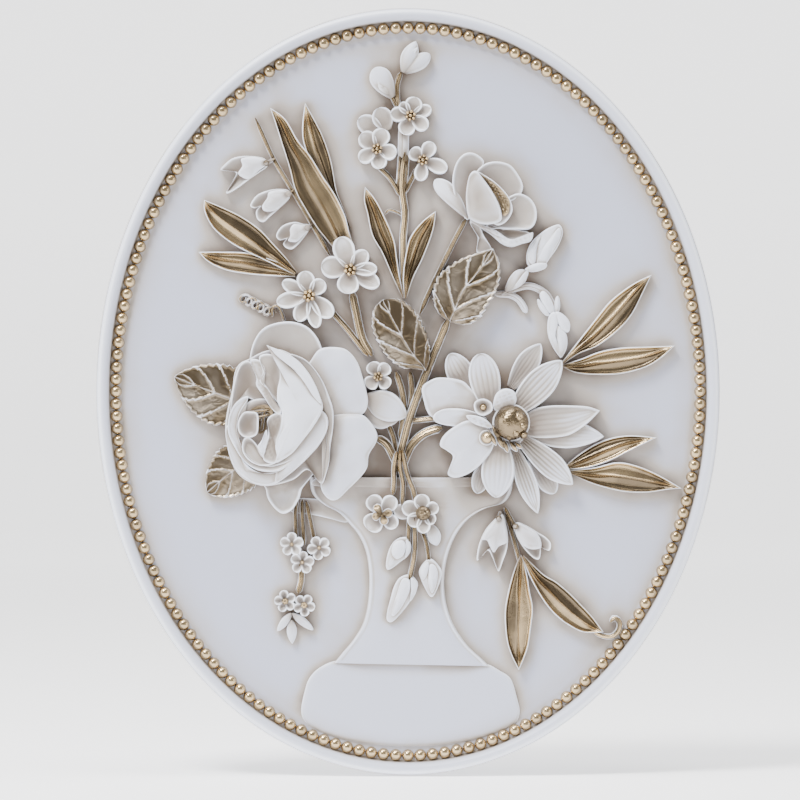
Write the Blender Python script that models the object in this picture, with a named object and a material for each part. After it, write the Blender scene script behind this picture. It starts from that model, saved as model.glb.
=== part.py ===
"""Oval wall plaque with a vase of flowers in relief, cast in one piece.

Metres, +Z up. The flat back lies in the plane y = 0 with the origin at its middle, and the relief faces -Y.
The relief is drawn in millimetres on the field, x to the right and z up from the middle of the plaque,
and every height is given in millimetres above the field.
"""

import math

import bmesh
import bpy
import numpy as np

# The oval board and its border
PLAQUE_WIDTH = 0.3126
PLAQUE_HEIGHT = 0.3844
FIELD_THICKNESS = 0.0100
RIM_DEPTH = 0.0170
RIM_BAND = 0.0062
RIM_GROOVE = 0.0013
GROOVE_DEPTH = 0.0010
BEAD_DIAMETER = 0.0059
BEAD_GAP = 0.00024
BEAD_PROUD = 0.0041

# The pocket in the back that hangs on a nail
POCKET_WIDTH = 0.016
POCKET_HEIGHT = 0.010
POCKET_DEPTH = 0.007
POCKET_BELOW_TOP = 0.034

# The relief: how far its highest petal stands off the field, and how deep each form is rooted in the board
RELIEF_RISE = 0.0240
ROOT_SHARE = 0.45

# The sheet that the relief was drawn on, in millimetres
DRAWN_FIELD_WIDTH = 285.8
DRAWN_FIELD_HEIGHT = 357.4
DRAWN_RISE = 24.0
LIP_HALF_WIDTH = 51.0
NECK_HALF_WIDTH = 19.0
FOOT_HALF_WIDTH = 39.0
VASE_X = -0.8
VASE_MOUTH_Z = -43.0
VASE_LIP_Z = -60.0
VASE_NECK_Z = -97.0
VASE_FOOT_Z = -137.5

# How finely the forms are cut
RIM_SEGMENTS = 84
BEAD_SIDES = 5
LONG_STEPS = (0, 0.3, 0.62, 0.88)
SHORT_STEPS = (0, 0.42, 0.82)
SHORT_BLADE = 26.0
ROOT_STEP = 0.00001

BORDER = RIM_BAND + RIM_GROOVE + BEAD_DIAMETER
BEAD_INSET = RIM_BAND + RIM_GROOVE + BEAD_DIAMETER / 2
ACROSS = (PLAQUE_WIDTH - 2 * BORDER) / DRAWN_FIELD_WIDTH
UP = (PLAQUE_HEIGHT - 2 * BORDER) / DRAWN_FIELD_HEIGHT
RISE = RELIEF_RISE / DRAWN_RISE
forms = []


def clear_scene():
    for item in list(bpy.data.objects):
        bpy.data.objects.remove(item)


def new_object(name, mesh_data):
    mesh = bpy.data.meshes.new(name)
    mesh_data.normal_update()
    mesh_data.to_mesh(mesh)
    mesh_data.free()
    item = bpy.data.objects.new(name, mesh)
    bpy.context.collection.objects.link(item)
    return item


def on_field(x, z, height):
    """A point of the drawing, in the plaque's own space."""
    return (x * ACROSS, -(FIELD_THICKNESS + height * RISE), z * UP)


def root_plane():
    """Each form ends at a depth of its own inside the board, so no two of them share a plane."""
    return -FIELD_THICKNESS * ROOT_SHARE - ROOT_STEP * len(forms)


def add_form(name, outline, inner, top_faces):
    """A closed solid: outline goes round counter-clockwise seen from the front, with heights; inner points
    carry the carved top; walls run straight back from the outline into the board."""
    shape = bmesh.new()
    tops = [shape.verts.new(on_field(*point)) for point in outline + inner]
    back = root_plane()
    count = len(outline)
    roots = [shape.verts.new((tops[i].co.x, back, tops[i].co.z)) for i in range(count)]
    for face in top_faces:
        shape.faces.new([tops[i] for i in face])
    for i in range(count):
        after = (i + 1) % count
        shape.faces.new([tops[after], tops[i], roots[i], roots[after]])
    shape.faces.new(list(reversed(roots)))
    bmesh.ops.recalc_face_normals(shape, faces=shape.faces)
    forms.append(new_object(name, shape))


def mound(name, outline, crown):
    """A form whose top rises, or dips, to one crown point (x, z, height) from its outline's heights."""
    count = len(outline)
    fan = [(i, (i + 1) % count, count) for i in range(count)]
    add_form(name, outline, [crown], fan)


def ribbon(name, rows):
    """A form along a midline. Each row is (x, z, along_x, along_z, half_width, edge_height, middle_height);
    a last row of no width is a point."""
    left, middle, right = [], [], []
    for x, z, along_x, along_z, half, edge, centre in rows:
        length = math.hypot(along_x, along_z)
        side_x, side_z = -along_z / length, along_x / length
        left.append((x + side_x * half, z + side_z * half, edge))
        middle.append((x, z, centre))
        right.append((x - side_x * half, z - side_z * half, edge))
    pointed = rows[-1][4] == 0.0
    last = len(rows) - 1
    pairs = last if pointed else last + 1
    outline = [middle[0]] + right[:pairs] + [middle[-1]] + list(reversed(left[:pairs]))
    inner = middle[1:-1]
    side = [1 + i for i in range(pairs)]
    other = [len(outline) - 1 - i for i in range(pairs)]
    centre = [0] + [len(outline) + i for i in range(len(inner))] + [pairs + 1]
    faces = []
    for i in range(pairs - 1):
        faces.append((side[i], side[i + 1], centre[i + 1], centre[i]))
        faces.append((centre[i], centre[i + 1], other[i + 1], other[i]))
    if pointed:
        faces.append((side[-1], centre[-1], centre[-2]))
        faces.append((centre[-2], centre[-1], other[-1]))
    add_form(name, outline, inner, faces)


def petal_share(t, widest, roundness):
    """Half width of a petal or leaf as a share of its greatest, at share t of its length."""
    if t < widest:
        return 0.3 + 0.7 * math.sin(t / widest * math.pi / 2)
    return math.sin((1 - t) / (1 - widest) * math.pi / 2) ** roundness


def blade(name, base, tip, width, low, high, ridge=0.0, widest=0.5, roundness=0.9, bow=0.0):
    """A leaf or petal from base to tip. low and high are its edge's heights at base and tip, ridge is how much
    its middle stands above the edge, or below it when negative, and bow bends its midline to the left."""
    (x0, z0), (x1, z1) = base, tip
    along_x, along_z = x1 - x0, z1 - z0
    length = math.hypot(along_x, along_z)
    steps = LONG_STEPS if length > SHORT_BLADE else SHORT_STEPS
    rows = []
    for t in steps + (1.0,):
        offset = bow * math.sin(math.pi * t)
        turn = bow * math.pi * math.cos(math.pi * t) / length
        x = x0 + along_x * t - along_z / length * offset
        z = z0 + along_z * t + along_x / length * offset
        half = width / 2 * petal_share(t, widest, roundness) if t < 1.0 else 0.0
        edge = low + (high - low) * t
        swell = ridge * math.sin(math.pi * min(1.0, t * 0.9 + 0.1))
        centre = edge + swell if t < 1.0 else edge
        rows.append((x, z, along_x - along_z * turn, along_z + along_x * turn, half, edge, centre))
    ribbon(name, rows)


def stem(name, path, width, height):
    """A stalk through the points of path: a bar with a ridge along its middle."""
    rows = []
    for i, (x, z) in enumerate(path):
        before, after = path[max(i - 1, 0)], path[min(i + 1, len(path) - 1)]
        rows.append((x, z, after[0] - before[0], after[1] - before[1], width / 2, height * 0.35, height))
    ribbon(name, rows)


def blossom(name, centre, petals, height, dip=1.6, button=0.0):
    """A flower in one form: each petal is (angle in degrees, length, width) about the centre, with a valley
    between it and the next, and a raised button in the middle."""
    x, z = centre
    petals = sorted(petals)
    outline = []
    for i, (angle, length, width) in enumerate(petals):
        following = petals[(i + 1) % len(petals)]
        spread = math.degrees(math.atan2(width * 0.42, length * 0.86))
        for turn, reach in ((-spread, 0.94), (spread, 0.94)):
            bearing = math.radians(angle + turn)
            outline.append((x + length * reach * math.cos(bearing), z + length * reach * math.sin(bearing), height))
        step = (following[0] - angle) % 360
        if i == len(petals) - 1:
            step = petals[0][0] + 360 - angle
        bearing = math.radians(angle + step / 2)
        reach = 0.3 * min(length, following[1])
        outline.append((x + reach * math.cos(bearing), z + reach * math.sin(bearing), height - dip))
    mound(name, outline, (x, z, height - dip * 0.7))
    if button:
        knob(name + "_button", centre, button, height - dip, height + 0.5, 5)


def knob(name, centre, radius, low, high, sides):
    """A round boss with a domed top."""
    x, z = centre
    ring = [
        (x + radius * math.cos(math.tau * i / sides), z + radius * math.sin(math.tau * i / sides), low)
        for i in range(sides)
    ]
    mound(name, ring, (x, z, high))


def bell(name, cap, first_tip, second_tip, height, splay=0.5):
    """A hanging bell flower: a cap at the stalk, and a skirt that ends in two points with a notch between."""
    cx, cz = cap
    middle_x = (first_tip[0] + second_tip[0]) / 2
    middle_z = (first_tip[1] + second_tip[1]) / 2
    down_x, down_z = middle_x - cx, middle_z - cz
    across_x, across_z = first_tip[0] - second_tip[0], first_tip[1] - second_tip[1]
    notch = (cx + down_x * 0.72, cz + down_z * 0.72, height * 0.8)
    shoulders = []
    for sign in (1, -1):
        reach = sign * splay
        shoulders.append((cx + down_x * 0.38 + across_x * reach, cz + down_z * 0.38 + across_z * reach, height))
    outline = [
        (cx, cz, height * 0.8),
        shoulders[0],
        (first_tip[0], first_tip[1], height * 0.7),
        notch,
        (second_tip[0], second_tip[1], height * 0.7),
        shoulders[1],
    ]
    turn = down_x * across_z - down_z * across_x
    if turn < 0:
        outline = [outline[0]] + list(reversed(outline[1:]))
    mound(name, outline, (cx + down_x * 0.45, cz + down_z * 0.45, height * 1.35))


def oval(inset, depth):
    """One ring of the border: the plaque's oval moved in by inset, at depth in front of the back."""
    across = PLAQUE_WIDTH / 2 - inset
    up = PLAQUE_HEIGHT / 2 - inset
    ring = []
    for i in range(RIM_SEGMENTS):
        angle = math.tau * i / RIM_SEGMENTS
        ring.append((across * math.cos(angle), -depth, up * math.sin(angle)))
    return ring


def make_board():
    """The board and its rim, as rings of one cross section joined round the oval."""
    shape = bmesh.new()
    section = (
        (0.0, 0.0),
        (0.0, RIM_DEPTH * 0.80),
        (RIM_BAND * 0.25, RIM_DEPTH * 0.97),
        (RIM_BAND * 0.60, RIM_DEPTH),
        (RIM_BAND, FIELD_THICKNESS - GROOVE_DEPTH),
        (RIM_BAND + RIM_GROOVE * 0.7, FIELD_THICKNESS),
    )
    rings = [[shape.verts.new(point) for point in oval(inset, depth)] for inset, depth in section]
    for outer, inner in zip(rings, rings[1:]):
        for i in range(RIM_SEGMENTS):
            after = (i + 1) % RIM_SEGMENTS
            shape.faces.new([outer[i], outer[after], inner[after], inner[i]])
    shape.faces.new(rings[0])
    shape.faces.new(list(reversed(rings[-1])))
    bmesh.ops.recalc_face_normals(shape, faces=shape.faces)
    return new_object("relief_plaque", shape)


def bead_places():
    """The beads' middles and bearings, evenly spaced along the oval that they stand on."""
    across = PLAQUE_WIDTH / 2 - BEAD_INSET
    up = PLAQUE_HEIGHT / 2 - BEAD_INSET
    angles = np.linspace(0.0, math.tau, 4001)
    points = np.column_stack([across * np.cos(angles), up * np.sin(angles)])
    run = np.concatenate([[0.0], np.cumsum(np.linalg.norm(np.diff(points, axis=0), axis=1))])
    count = round(run[-1] / (BEAD_DIAMETER + BEAD_GAP))
    for i in range(count):
        angle = float(np.interp(run[-1] * i / count, run, angles))
        along = math.atan2(up * math.cos(angle), -across * math.sin(angle))
        yield across * math.cos(angle), up * math.sin(angle), along


def make_beads():
    """All the beads as separate closed domes of one mesh, rooted in the board between groove and field."""
    shape = bmesh.new()
    turns = [math.pi / 2 + math.tau * i / BEAD_SIDES for i in range(BEAD_SIDES)]
    radius = BEAD_DIAMETER / 2 / max(math.cos(turn) for turn in turns)
    levels = ((1.0, FIELD_THICKNESS * ROOT_SHARE), (0.80, FIELD_THICKNESS + BEAD_PROUD * 0.66))
    for x, z, along in bead_places():
        rings = []
        for share, depth in levels:
            ring = []
            for turn in turns:
                bearing = along + turn
                reach = radius * share
                ring.append(shape.verts.new((x + reach * math.cos(bearing), -depth, z + reach * math.sin(bearing))))
            rings.append(ring)
        top = shape.verts.new((x, -FIELD_THICKNESS - BEAD_PROUD, z))
        for i in range(BEAD_SIDES):
            after = (i + 1) % BEAD_SIDES
            shape.faces.new([rings[0][after], rings[0][i], rings[1][i], rings[1][after]])
            shape.faces.new([rings[1][after], rings[1][i], top])
        shape.faces.new(rings[0])
    bmesh.ops.recalc_face_normals(shape, faces=shape.faces)
    return new_object("beads", shape)


def make_pocket():
    """The nail pocket: a box cut into the back below the top of the plaque."""
    shape = bmesh.new()
    bmesh.ops.create_cube(shape, size=1.0)
    middle_z = PLAQUE_HEIGHT / 2 - POCKET_BELOW_TOP - POCKET_HEIGHT / 2
    for vert in shape.verts:
        vert.co.x *= POCKET_WIDTH
        vert.co.y *= 2 * POCKET_DEPTH
        vert.co.z = vert.co.z * POCKET_HEIGHT + middle_z
    return new_object("nail_pocket", shape)


def vase_half_width(z):
    """The vase's side: a narrow neck that opens to the lip above it and to the foot below it."""
    if z > VASE_NECK_Z:
        share = (z - VASE_NECK_Z) / (VASE_LIP_Z - VASE_NECK_Z)
        return NECK_HALF_WIDTH + (LIP_HALF_WIDTH - NECK_HALF_WIDTH) * 0.55 * share**3
    share = (VASE_NECK_Z - z) / (VASE_NECK_Z - VASE_FOOT_Z)
    return NECK_HALF_WIDTH + (FOOT_HALF_WIDTH - NECK_HALF_WIDTH) * share**2.3


def make_vase():
    """The vase in low relief: lip, waisted body and the block that it stands on."""
    rows = []
    for z in (VASE_LIP_Z + 2, -68, -76, -88, -104, -116, -126, VASE_FOOT_Z + 3, VASE_FOOT_Z):
        rows.append((VASE_X, z, 0, -1, vase_half_width(z), 2.4, 5.2))
    ribbon("vase_body", rows)
    lip = [(VASE_MOUTH_Z, 0.72, 4.5), (-49.0, 0.93, 5.0), (-55.0, 1.0, 4.4), (VASE_LIP_Z, 0.98, 2.6)]
    rows = [(VASE_X, z, 0, -1, LIP_HALF_WIDTH * share, height, height + 1.6) for z, share, height in lip]
    ribbon("vase_lip", rows)
    right = [(45, -139.5, 3.0), (50.5, -143, 3.0), (53.5, -149, 3.0), (55.5, -161.5, 1.2)]
    below = [(40, -168, 0.5), (20, -174, 0.4), (0, -176, 0.4), (-20, -174, 0.4), (-40, -168, 0.5)]
    left = [(-54, -161.5, 1.2), (-52, -149, 3.0), (-49, -143, 3.0), (-44, -138.5, 3.0)]
    mound("foot_block", list(reversed(right + below + left)), (0.5, -150, 3.6))


def make_rose():
    """The big open flower at the left: outer petals first, then the heart, petal on petal."""
    blade("rose_petal_top", (-62, -2), (-60, 35), 36, 9, 8.5, -1.5, 0.55, 0.5)
    blade("rose_petal_right_up", (-50, 0), (-21.5, 9), 36, 10, 11.5, 2.0, 0.55, 0.45)
    blade("rose_petal_right_low", (-48, -25), (-16, -32), 40, 10, 11, 2.0, 0.58, 0.5)
    blade("rose_petal_below", (-56, -36), (-61.5, -61), 20, 11, 7, -2.0, 0.45, 0.6)
    heart = [
        (-91, -18, 12), (-90, -30, 12), (-83, -41, 12), (-71, -47, 13), (-57, -46, 13), (-45, -37, 14),
        (-38, -21, 15), (-37.5, -10, 15), (-42, 4, 15), (-52, 15, 15), (-69, 22.5, 14), (-79, 17, 12),
        (-86, 13, 12), (-90, 0, 12),
    ]
    mound("rose_heart", heart, (-63, -12, 17))
    blade("rose_wrap_left", (-81, 15), (-70, -44), 17, 15, 17, 1.5, 0.5, 0.7, -12)
    blade("rose_wrap_low", (-83, -30), (-41, -22), 14, 17, 19, 1.2, 0.5, 0.7, -15)
    front = [
        (-69, 22, 19), (-66, 12, 22), (-64, 1, 23.5), (-63, -13, 24), (-65, -26, 22), (-64, -35, 20),
        (-55, -32, 19), (-46, -20, 19), (-42.5, -10, 19.5), (-48, 4, 19.5), (-58, 17, 19),
    ]
    mound("rose_front_petal", list(reversed(front)), (-54, -8, 22.5))
    blade("rose_fold_long", (-78, 16), (-64, -12), 7, 20, 20, 1.5, 0.5, 0.8, 3)
    blade("rose_fold_short", (-72, 16), (-66, -2), 7, 21, 21, 1.5, 0.5, 0.8, 2)
    blade("rose_inner_oval", (-76, -21), (-81, -8), 13, 19, 20, -1.5, 0.55, 0.5)
    blade("rose_ruffle", (-68, -34), (-67, -16), 8, 19, 21, 1.5, 0.5, 0.7)
    blade("rose_inner_low", (-82, -24), (-69, -36), 13, 18.5, 19, -1.0, 0.5, 0.6)
    blade("rose_leaf_up", (-76, -7), (-116.5, 7), 31, 4, 3.5, 1.2, 0.42, 0.85)
    blade("rose_leaf_low", (-74, -28), (-101, -49.5), 24, 4, 3.5, 1.2, 0.45, 0.8)


def make_daisy():
    """The open flower at the right: long petals round a knob, each set over its neighbours."""
    long_petals = (
        ("behind_left", (33, -4), (23.5, 20), 13, 5, 5, 0.5),
        ("behind_right", (52, 0), (66.5, 23.5), 11, 6, 6, -0.6),
        ("behind_low_left", (42, -34), (36, -50), 9, 5, 4, 0.4),
        ("behind_low_right", (61, -30), (73, -50.5), 9, 5, 4, -0.6),
        ("top", (45, -8), (37.5, 19), 15, 11, 10, 1.2),
        ("top_right", (53, -9), (76.5, 15), 15, 11, 9, -1.2),
        ("right_up", (60, -15), (95, -10), 13, 9, 8, -1.2),
        ("right_low", (59, -21), (96, -22), 11, 7.5, 6.5, -1.0),
        ("low_right", (57, -24), (82, -46), 11, 9, 7, -1.2),
        ("low_slim", (55, -30), (64.5, -60), 9, 8, 6, -1.0),
        ("low", (47, -26), (44.5, -52), 15.5, 11, 10, 1.2),
        ("left_broad", (38, -8), (7, 1), 17, 8, 9, 1.0),
        ("left_slim", (42, -16), (12, -12.5), 9, 10, 9.5, 1.0),
        ("low_left_broad", (42, -18), (18, -37), 25, 11, 11, 1.4),
    )
    for name, base, tip, width, low, high, ridge in long_petals:
        blade("daisy_petal_" + name, base, tip, width, low, high, ridge, 0.58, 0.55)
    blade("daisy_petal_small", (51, -14), (49, 1), 9, 14, 14, 1.0, 0.55, 0.5)
    blade("daisy_curl", (44, -14), (34, -8), 8, 14, 14, 1.0, 0.5, 0.5)
    knob("daisy_bead", (39.2, -24.5), 3.2, 13, 16.5, 6)
    knob("daisy_knob", (51.5, -15.7), 8.8, 16, 22.5, 12)


def make_peony():
    """The half-open flower at the upper right."""
    blade("peony_bud_petal", (29.2, 88.4), (13, 104), 9, 7.4, 7.8, 2.0, 0.6, 0.6)
    blade("peony_petal_left", (30, 87.1), (31, 120), 17, 9.3, 8, -1.6, 0.6, 0.5, 3)
    blade("peony_petal_top", (38, 92), (55, 110), 21, 9, 8.5, -1.5, 0.55, 0.45)
    blade("peony_petal_right", (34, 86), (64.5, 89), 20, 10, 9, -1.5, 0.65, 0.45)
    blade("peony_petal_curled", (34, 84), (62, 77), 12, 8, 10, 2.0, 0.6, 0.5, -3)
    cup = [
        (30, 102.5, 12), (32, 109, 12), (34.5, 110, 13), (39.5, 105, 15), (43.5, 98, 16), (47, 90, 15),
        (42.5, 85, 12), (33.5, 85, 11), (30, 90, 11),
    ]
    mound("peony_cup", list(reversed(cup)), (37, 96, 16.5))
    blade("peony_sepal", (31, 85), (39, 71), 9, 6, 5, 1.0, 0.8, 0.35)


def make_gold_leaves():
    """The long pointed leaves, in pairs, each with a sunk middle."""
    long_leaves = (
        ("left_tall_behind", (-32, 76), (-52, 144), 13, 5.0, 5.5, -2),
        ("left_tall_front", (-34.5, 76), (-69, 141.5), 13, 6.0, 6.0, 2),
        ("left_low_front", (-56.8, 59.7), (-102, 96.2), 12.5, 5.5, 4.5, -1.6),
        ("left_low_side", (-57, 58.5), (-104.5, 70), 9.5, 4.5, 4.0, 1.5),
        ("middle_left", (-3, 47), (-21.5, 101.5), 9.5, 5.0, 5.2, 0),
        ("middle_right", (-1.3, 46.2), (13, 90), 9, 5.6, 5.0, 0),
        ("right_top", (77.5, 14), (122, 58.5), 12, 5.0, 4.0, -1),
        ("right_top_low", (78, 12.5), (133, 22.5), 12, 4.5, 4.0, -1.5),
        ("right_bottom_up", (78.5, -38), (124.5, -23), 10.5, 5.0, 4.0, 2),
        ("right_bottom_low", (80, -40.5), (137, -48.5), 13.5, 4.5, 4.0, 1),
        ("hanging_left", (56, -82.5), (55.5, -138.5), 13.8, 5.0, 4.5, 0),
        ("hanging_right", (59, -83), (99, -121.5), 11.5, 5.0, 4.5, -1.5),
    )
    for name, base, tip, width, low, high, bow in long_leaves:
        blade("leaf_" + name, base, tip, width, low, high, -1.6, 0.55, 0.85, bow)
    stem("leaf_curl", [(97, -120), (101, -123.8), (105, -121.5), (106.3, -117.5), (103.5, -113.8)], 2.4, 4.5)
    blade("round_leaf_left", (9, 11.5), (-12.5, 46), 26, 9, 8.5, 1.2, 0.5, 0.6)
    blade("round_leaf_right", (21, 36), (42.5, 71.5), 28, 9, 8.5, 1.2, 0.52, 0.6)


def make_stems():
    """The stalks that run down into the vase, and those that hang over its lip."""
    stalks = (
        ("main", [(30, 84), (22, 66), (15.5, 34), (10.5, 11), (1, -12), (-4, -34)], 3.6, 7.5),
        ("top", [(-3.5, 104), (-2, 78), (-2.5, 50)], 3.2, 4.5),
        ("top_left", [(-15, 113), (-3.5, 100)], 2.4, 4.0),
        ("top_right", [(5, 112), (-2, 101)], 2.4, 4.0),
        ("round_bud", [(-8, 146), (-4, 137)], 2.4, 4.0),
        ("split_bud", [(-3, 160), (-5, 150), (-5, 140)], 2.4, 4.5),
        ("bells", [(-76, 136.5), (-67.5, 117), (-58, 102), (-48.5, 85), (-40, 70)], 2.2, 4.2),
        ("blossom_high", [(-27, 50), (-23, 26), (-18, 18)], 4.0, 5.0),
        ("blossom_low", [(-38, 40), (-20, 18)], 2.6, 4.5),
        ("bells_low", [(48.5, -61), (52, -74), (57, -83.5)], 2.2, 3.4),
        ("rose", [(-16, -24), (-10, -29), (-5, -38)], 4.0, 7.0),
        ("behind", [(0.5, 10), (2, -10)], 3.4, 5.0),
        ("slim", [(-8, -18), (-5.5, -33)], 2.6, 5.0),
        ("daisy_low", [(17.5, -19), (7, -25), (-1, -37)], 5.0, 6.0),
        ("daisy_high", [(14, -13), (1, -13.8)], 3.0, 6.0),
        ("over_left", [(-5, -34), (-7, -50)], 2.8, 9.0),
        ("over_middle", [(-4, -34), (-3, -51)], 2.6, 9.5),
        ("over_right", [(-3, -34), (2.5, -53)], 2.8, 9.2),
        ("bud_low", [(3.5, -70), (3.5, -80), (1, -92)], 3.0, 9.0),
        ("bud_side", [(7, -71), (10.5, -85)], 2.6, 8.5),
        ("sprig_left", [(-56, -60), (-55.5, -70)], 2.2, 3.6),
        ("sprig_middle", [(-53, -60), (-52, -72)], 2.2, 3.6),
        ("sprig_right", [(-50, -62), (-48, -72)], 2.2, 3.6),
        ("sprig_low", [(-53.5, -88), (-55, -101)], 2.8, 3.6),
    )
    for name, path, width, height in stalks:
        stem("stem_" + name, path, width, height)


def make_blossoms():
    """The small open flowers, each petal as (bearing, length, width)."""
    low_left = [(102, 12.5, 9), (152, 15, 7), (192, 16.5, 8), (245, 14, 8), (284, 16.5, 7), (319, 15.5, 9), (45, 10.5, 8)]
    blossom("blossom_left_low", (-49.5, 48), low_left, 8.5)
    high_left = [(107, 17, 10), (78, 16, 5), (48, 12.5, 8), (2, 13, 6), (331, 16, 8), (260, 12, 11), (170, 14.5, 11)]
    blossom("blossom_left_high", (-29, 60), high_left, 8.5)
    top = [(74, 9, 8), (20, 11, 6), (323, 10, 7), (252, 9.5, 8), (174, 10, 7), (127, 8, 5)]
    blossom("blossom_top", (1.3, 138.2), top, 6.5)
    side = [(76, 11, 8), (137, 11, 8), (226, 10, 7), (279, 10, 7.5), (346, 9.5, 7)]
    blossom("blossom_top_left", (-15.5, 121.4), side, 6.5)
    four = [(60, 10, 7), (147, 8, 7), (262, 10.5, 7), (338, 13, 7)]
    blossom("blossom_top_right", (7.5, 116), four, 6.5)
    cross = [(50, 8.5, 8), (130, 9.5, 9), (228, 9.5, 9), (320, 9, 7)]
    blossom("blossom_vase_left", (-13.2, -61), cross, 9.5, 1.6, 4.2)
    six = [(100, 7.6, 7), (18, 7.5, 6), (310, 7, 6), (264, 8.6, 5), (219, 8.8, 7), (165, 9, 8)]
    blossom("blossom_vase_right", (8.5, -61), six, 10.5, 1.6, 4.2)
    tiny = [(50, 7.5, 7), (117, 7.5, 7), (241, 7, 7), (320, 6.5, 7)]
    blossom("blossom_by_rose", (-15, 7.2), tiny, 7.5, 1.4)
    small = ((-58.2, -76.5, 5.8), (-44.5, -78.3, 6.0), (-53, -85.5, 5.6), (-61.4, -105, 5.0), (-52, -107, 5.0))
    for i, (x, z, reach) in enumerate(small):
        petals = [(18 + 72 * step + 11 * i, reach, reach * 0.8) for step in range(5)]
        blossom(f"blossom_sprig_{i + 1}", (x, z), petals, 5.5, 1.4)
    blade("blossom_behind_far", (-15, 131), (-26, 137), 9.5, 4.5, 4.5, -0.8, 0.55, 0.45)
    blade("blossom_behind_near", (-9, 132), (-15.5, 142), 10, 4.8, 4.8, -0.8, 0.6, 0.45)


def make_buds():
    """Closed buds and the loose petals near them."""
    closed = (
        ("split_left", (-1.5, 159), (4.5, 175), 7.5, 6.0, 5.0),
        ("split_right", (-1, 159.5), (10.8, 169), 6.5, 5.6, 4.6),
        ("round", (-8, 146), (-18, 161), 10.5, 5.0, 6.5),
        ("vase_side", (-1, -74), (-10, -89), 11, 8.5, 7.5),
        ("vase_low", (0.5, -91.5), (-10, -115), 11, 8.5, 7.0),
        ("vase_right", (10.5, -84.5), (12.5, -102.5), 12, 8.5, 7.0),
        ("vase_petal", (9.5, -67), (14, -77.5), 7, 8.0, 7.0),
        ("right_big", (60, 60), (76.3, 83), 12.5, 6.5, 6.0),
        ("right_small", (49, 52), (60, 62), 7.5, 5.0, 5.5),
        ("right_hanging", (74, 39), (77.5, 18), 11, 6.5, 5.5),
        ("right_sliver", (75, 39), (74.8, 48.5), 3.5, 5.0, 4.5),
        ("right_tuft", (66, 50), (72, 39), 5.5, 5.0, 4.5),
        ("beside_rose_up", (-21, -2), (-1.5, -12), 14, 6.5, 6.0),
        ("beside_rose_low", (-23, -9), (-5.5, -12.5), 16, 5.5, 5.0),
        ("sprig_point", (-58.5, -112), (-57.5, -127.5), 4.8, 3.6, 3.0),
        ("sprig_wing_left", (-58.5, -111), (-65.5, -120), 4.2, 4.2, 3.4),
        ("sprig_wing_right", (-58, -111), (-47.5, -119.5), 4.2, 4.2, 3.4),
    )
    for name, base, tip, width, low, high in closed:
        blade("bud_" + name, base, tip, width, low, high, 1.8, 0.42, 0.75)
    stem("tendril_right_long", [(47, 50), (57, 53.5), (66, 52.5), (71, 48), (73, 40)], 2.6, 4.0)
    stem("tendril_right_short", [(45, 48.5), (53, 47.5), (59, 41)], 2.4, 3.6)
    loops = [(-84, 48), (-80.5, 44), (-76.5, 45), (-74, 40), (-70.5, 41.5), (-68, 36.5), (-62.5, 37)]
    stem("tendril_left", loops, 2.6, 2.6)


def make_bells():
    """The hanging bell flowers."""
    bell("bell_first", (-71, 114), (-93.5, 111.2), (-91, 99.5), 6.0, 0.66)
    bell("bell_second", (-61.5, 99), (-79, 92.5), (-72.5, 85), 5.5, 0.62)
    bell("bell_third", (-51.5, 82), (-66, 78), (-60, 71.5), 5.0, 0.66)
    bell("bell_low_left", (46, -61.5), (34.5, -84.5), (45.5, -89), 6.5, 0.62)
    bell("bell_low_right", (52, -66), (70.5, -77), (65.5, -84), 6.5, 0.72)


def join_relief(board, beads, pocket):
    """One Boolean union makes the board, the beads and every form one body; a cut makes the pocket."""
    relief = bpy.data.collections.new("relief")
    bpy.context.scene.collection.children.link(relief)
    for form in forms + [beads]:
        relief.objects.link(form)
    union = board.modifiers.new("join relief", "BOOLEAN")
    union.operation = "UNION"
    union.operand_type = "COLLECTION"
    union.collection = relief
    union.solver = "EXACT"
    cut = board.modifiers.new("cut pocket", "BOOLEAN")
    cut.operation = "DIFFERENCE"
    cut.object = pocket
    cut.solver = "EXACT"
    for guide in forms + [beads, pocket]:
        guide.hide_render = True
        guide.display_type = "WIRE"
        guide.parent = board


def ivory_resin():
    material = bpy.data.materials.new("ivory_resin")
    material.use_nodes = True
    shader = material.node_tree.nodes["Principled BSDF"]
    shader.inputs["Base Color"].default_value = (0.72, 0.71, 0.70, 1.0)
    shader.inputs["Roughness"].default_value = 0.42
    return material


def build():
    clear_scene()
    board = make_board()
    make_vase()
    make_rose()
    make_daisy()
    make_peony()
    make_gold_leaves()
    make_stems()
    make_blossoms()
    make_buds()
    make_bells()
    join_relief(board, make_beads(), make_pocket())
    board.data.materials.append(ivory_resin())


build()
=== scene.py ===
# %% [markdown]
# # An oval plaque with a vase of flowers in relief
# The real object is one casting: an oval board, a ring of beads, and a bouquet that stands up to 24 mm off
# it. Its paint is ivory, with a warm wash rubbed into the hollows and champagne gold on beads, leaves and
# stems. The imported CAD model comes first, because every piece below must stay inside its box and ride on
# its body.

import math

import bpy
import numpy as np
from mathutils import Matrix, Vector
from mathutils.bvhtree import BVHTree


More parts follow.
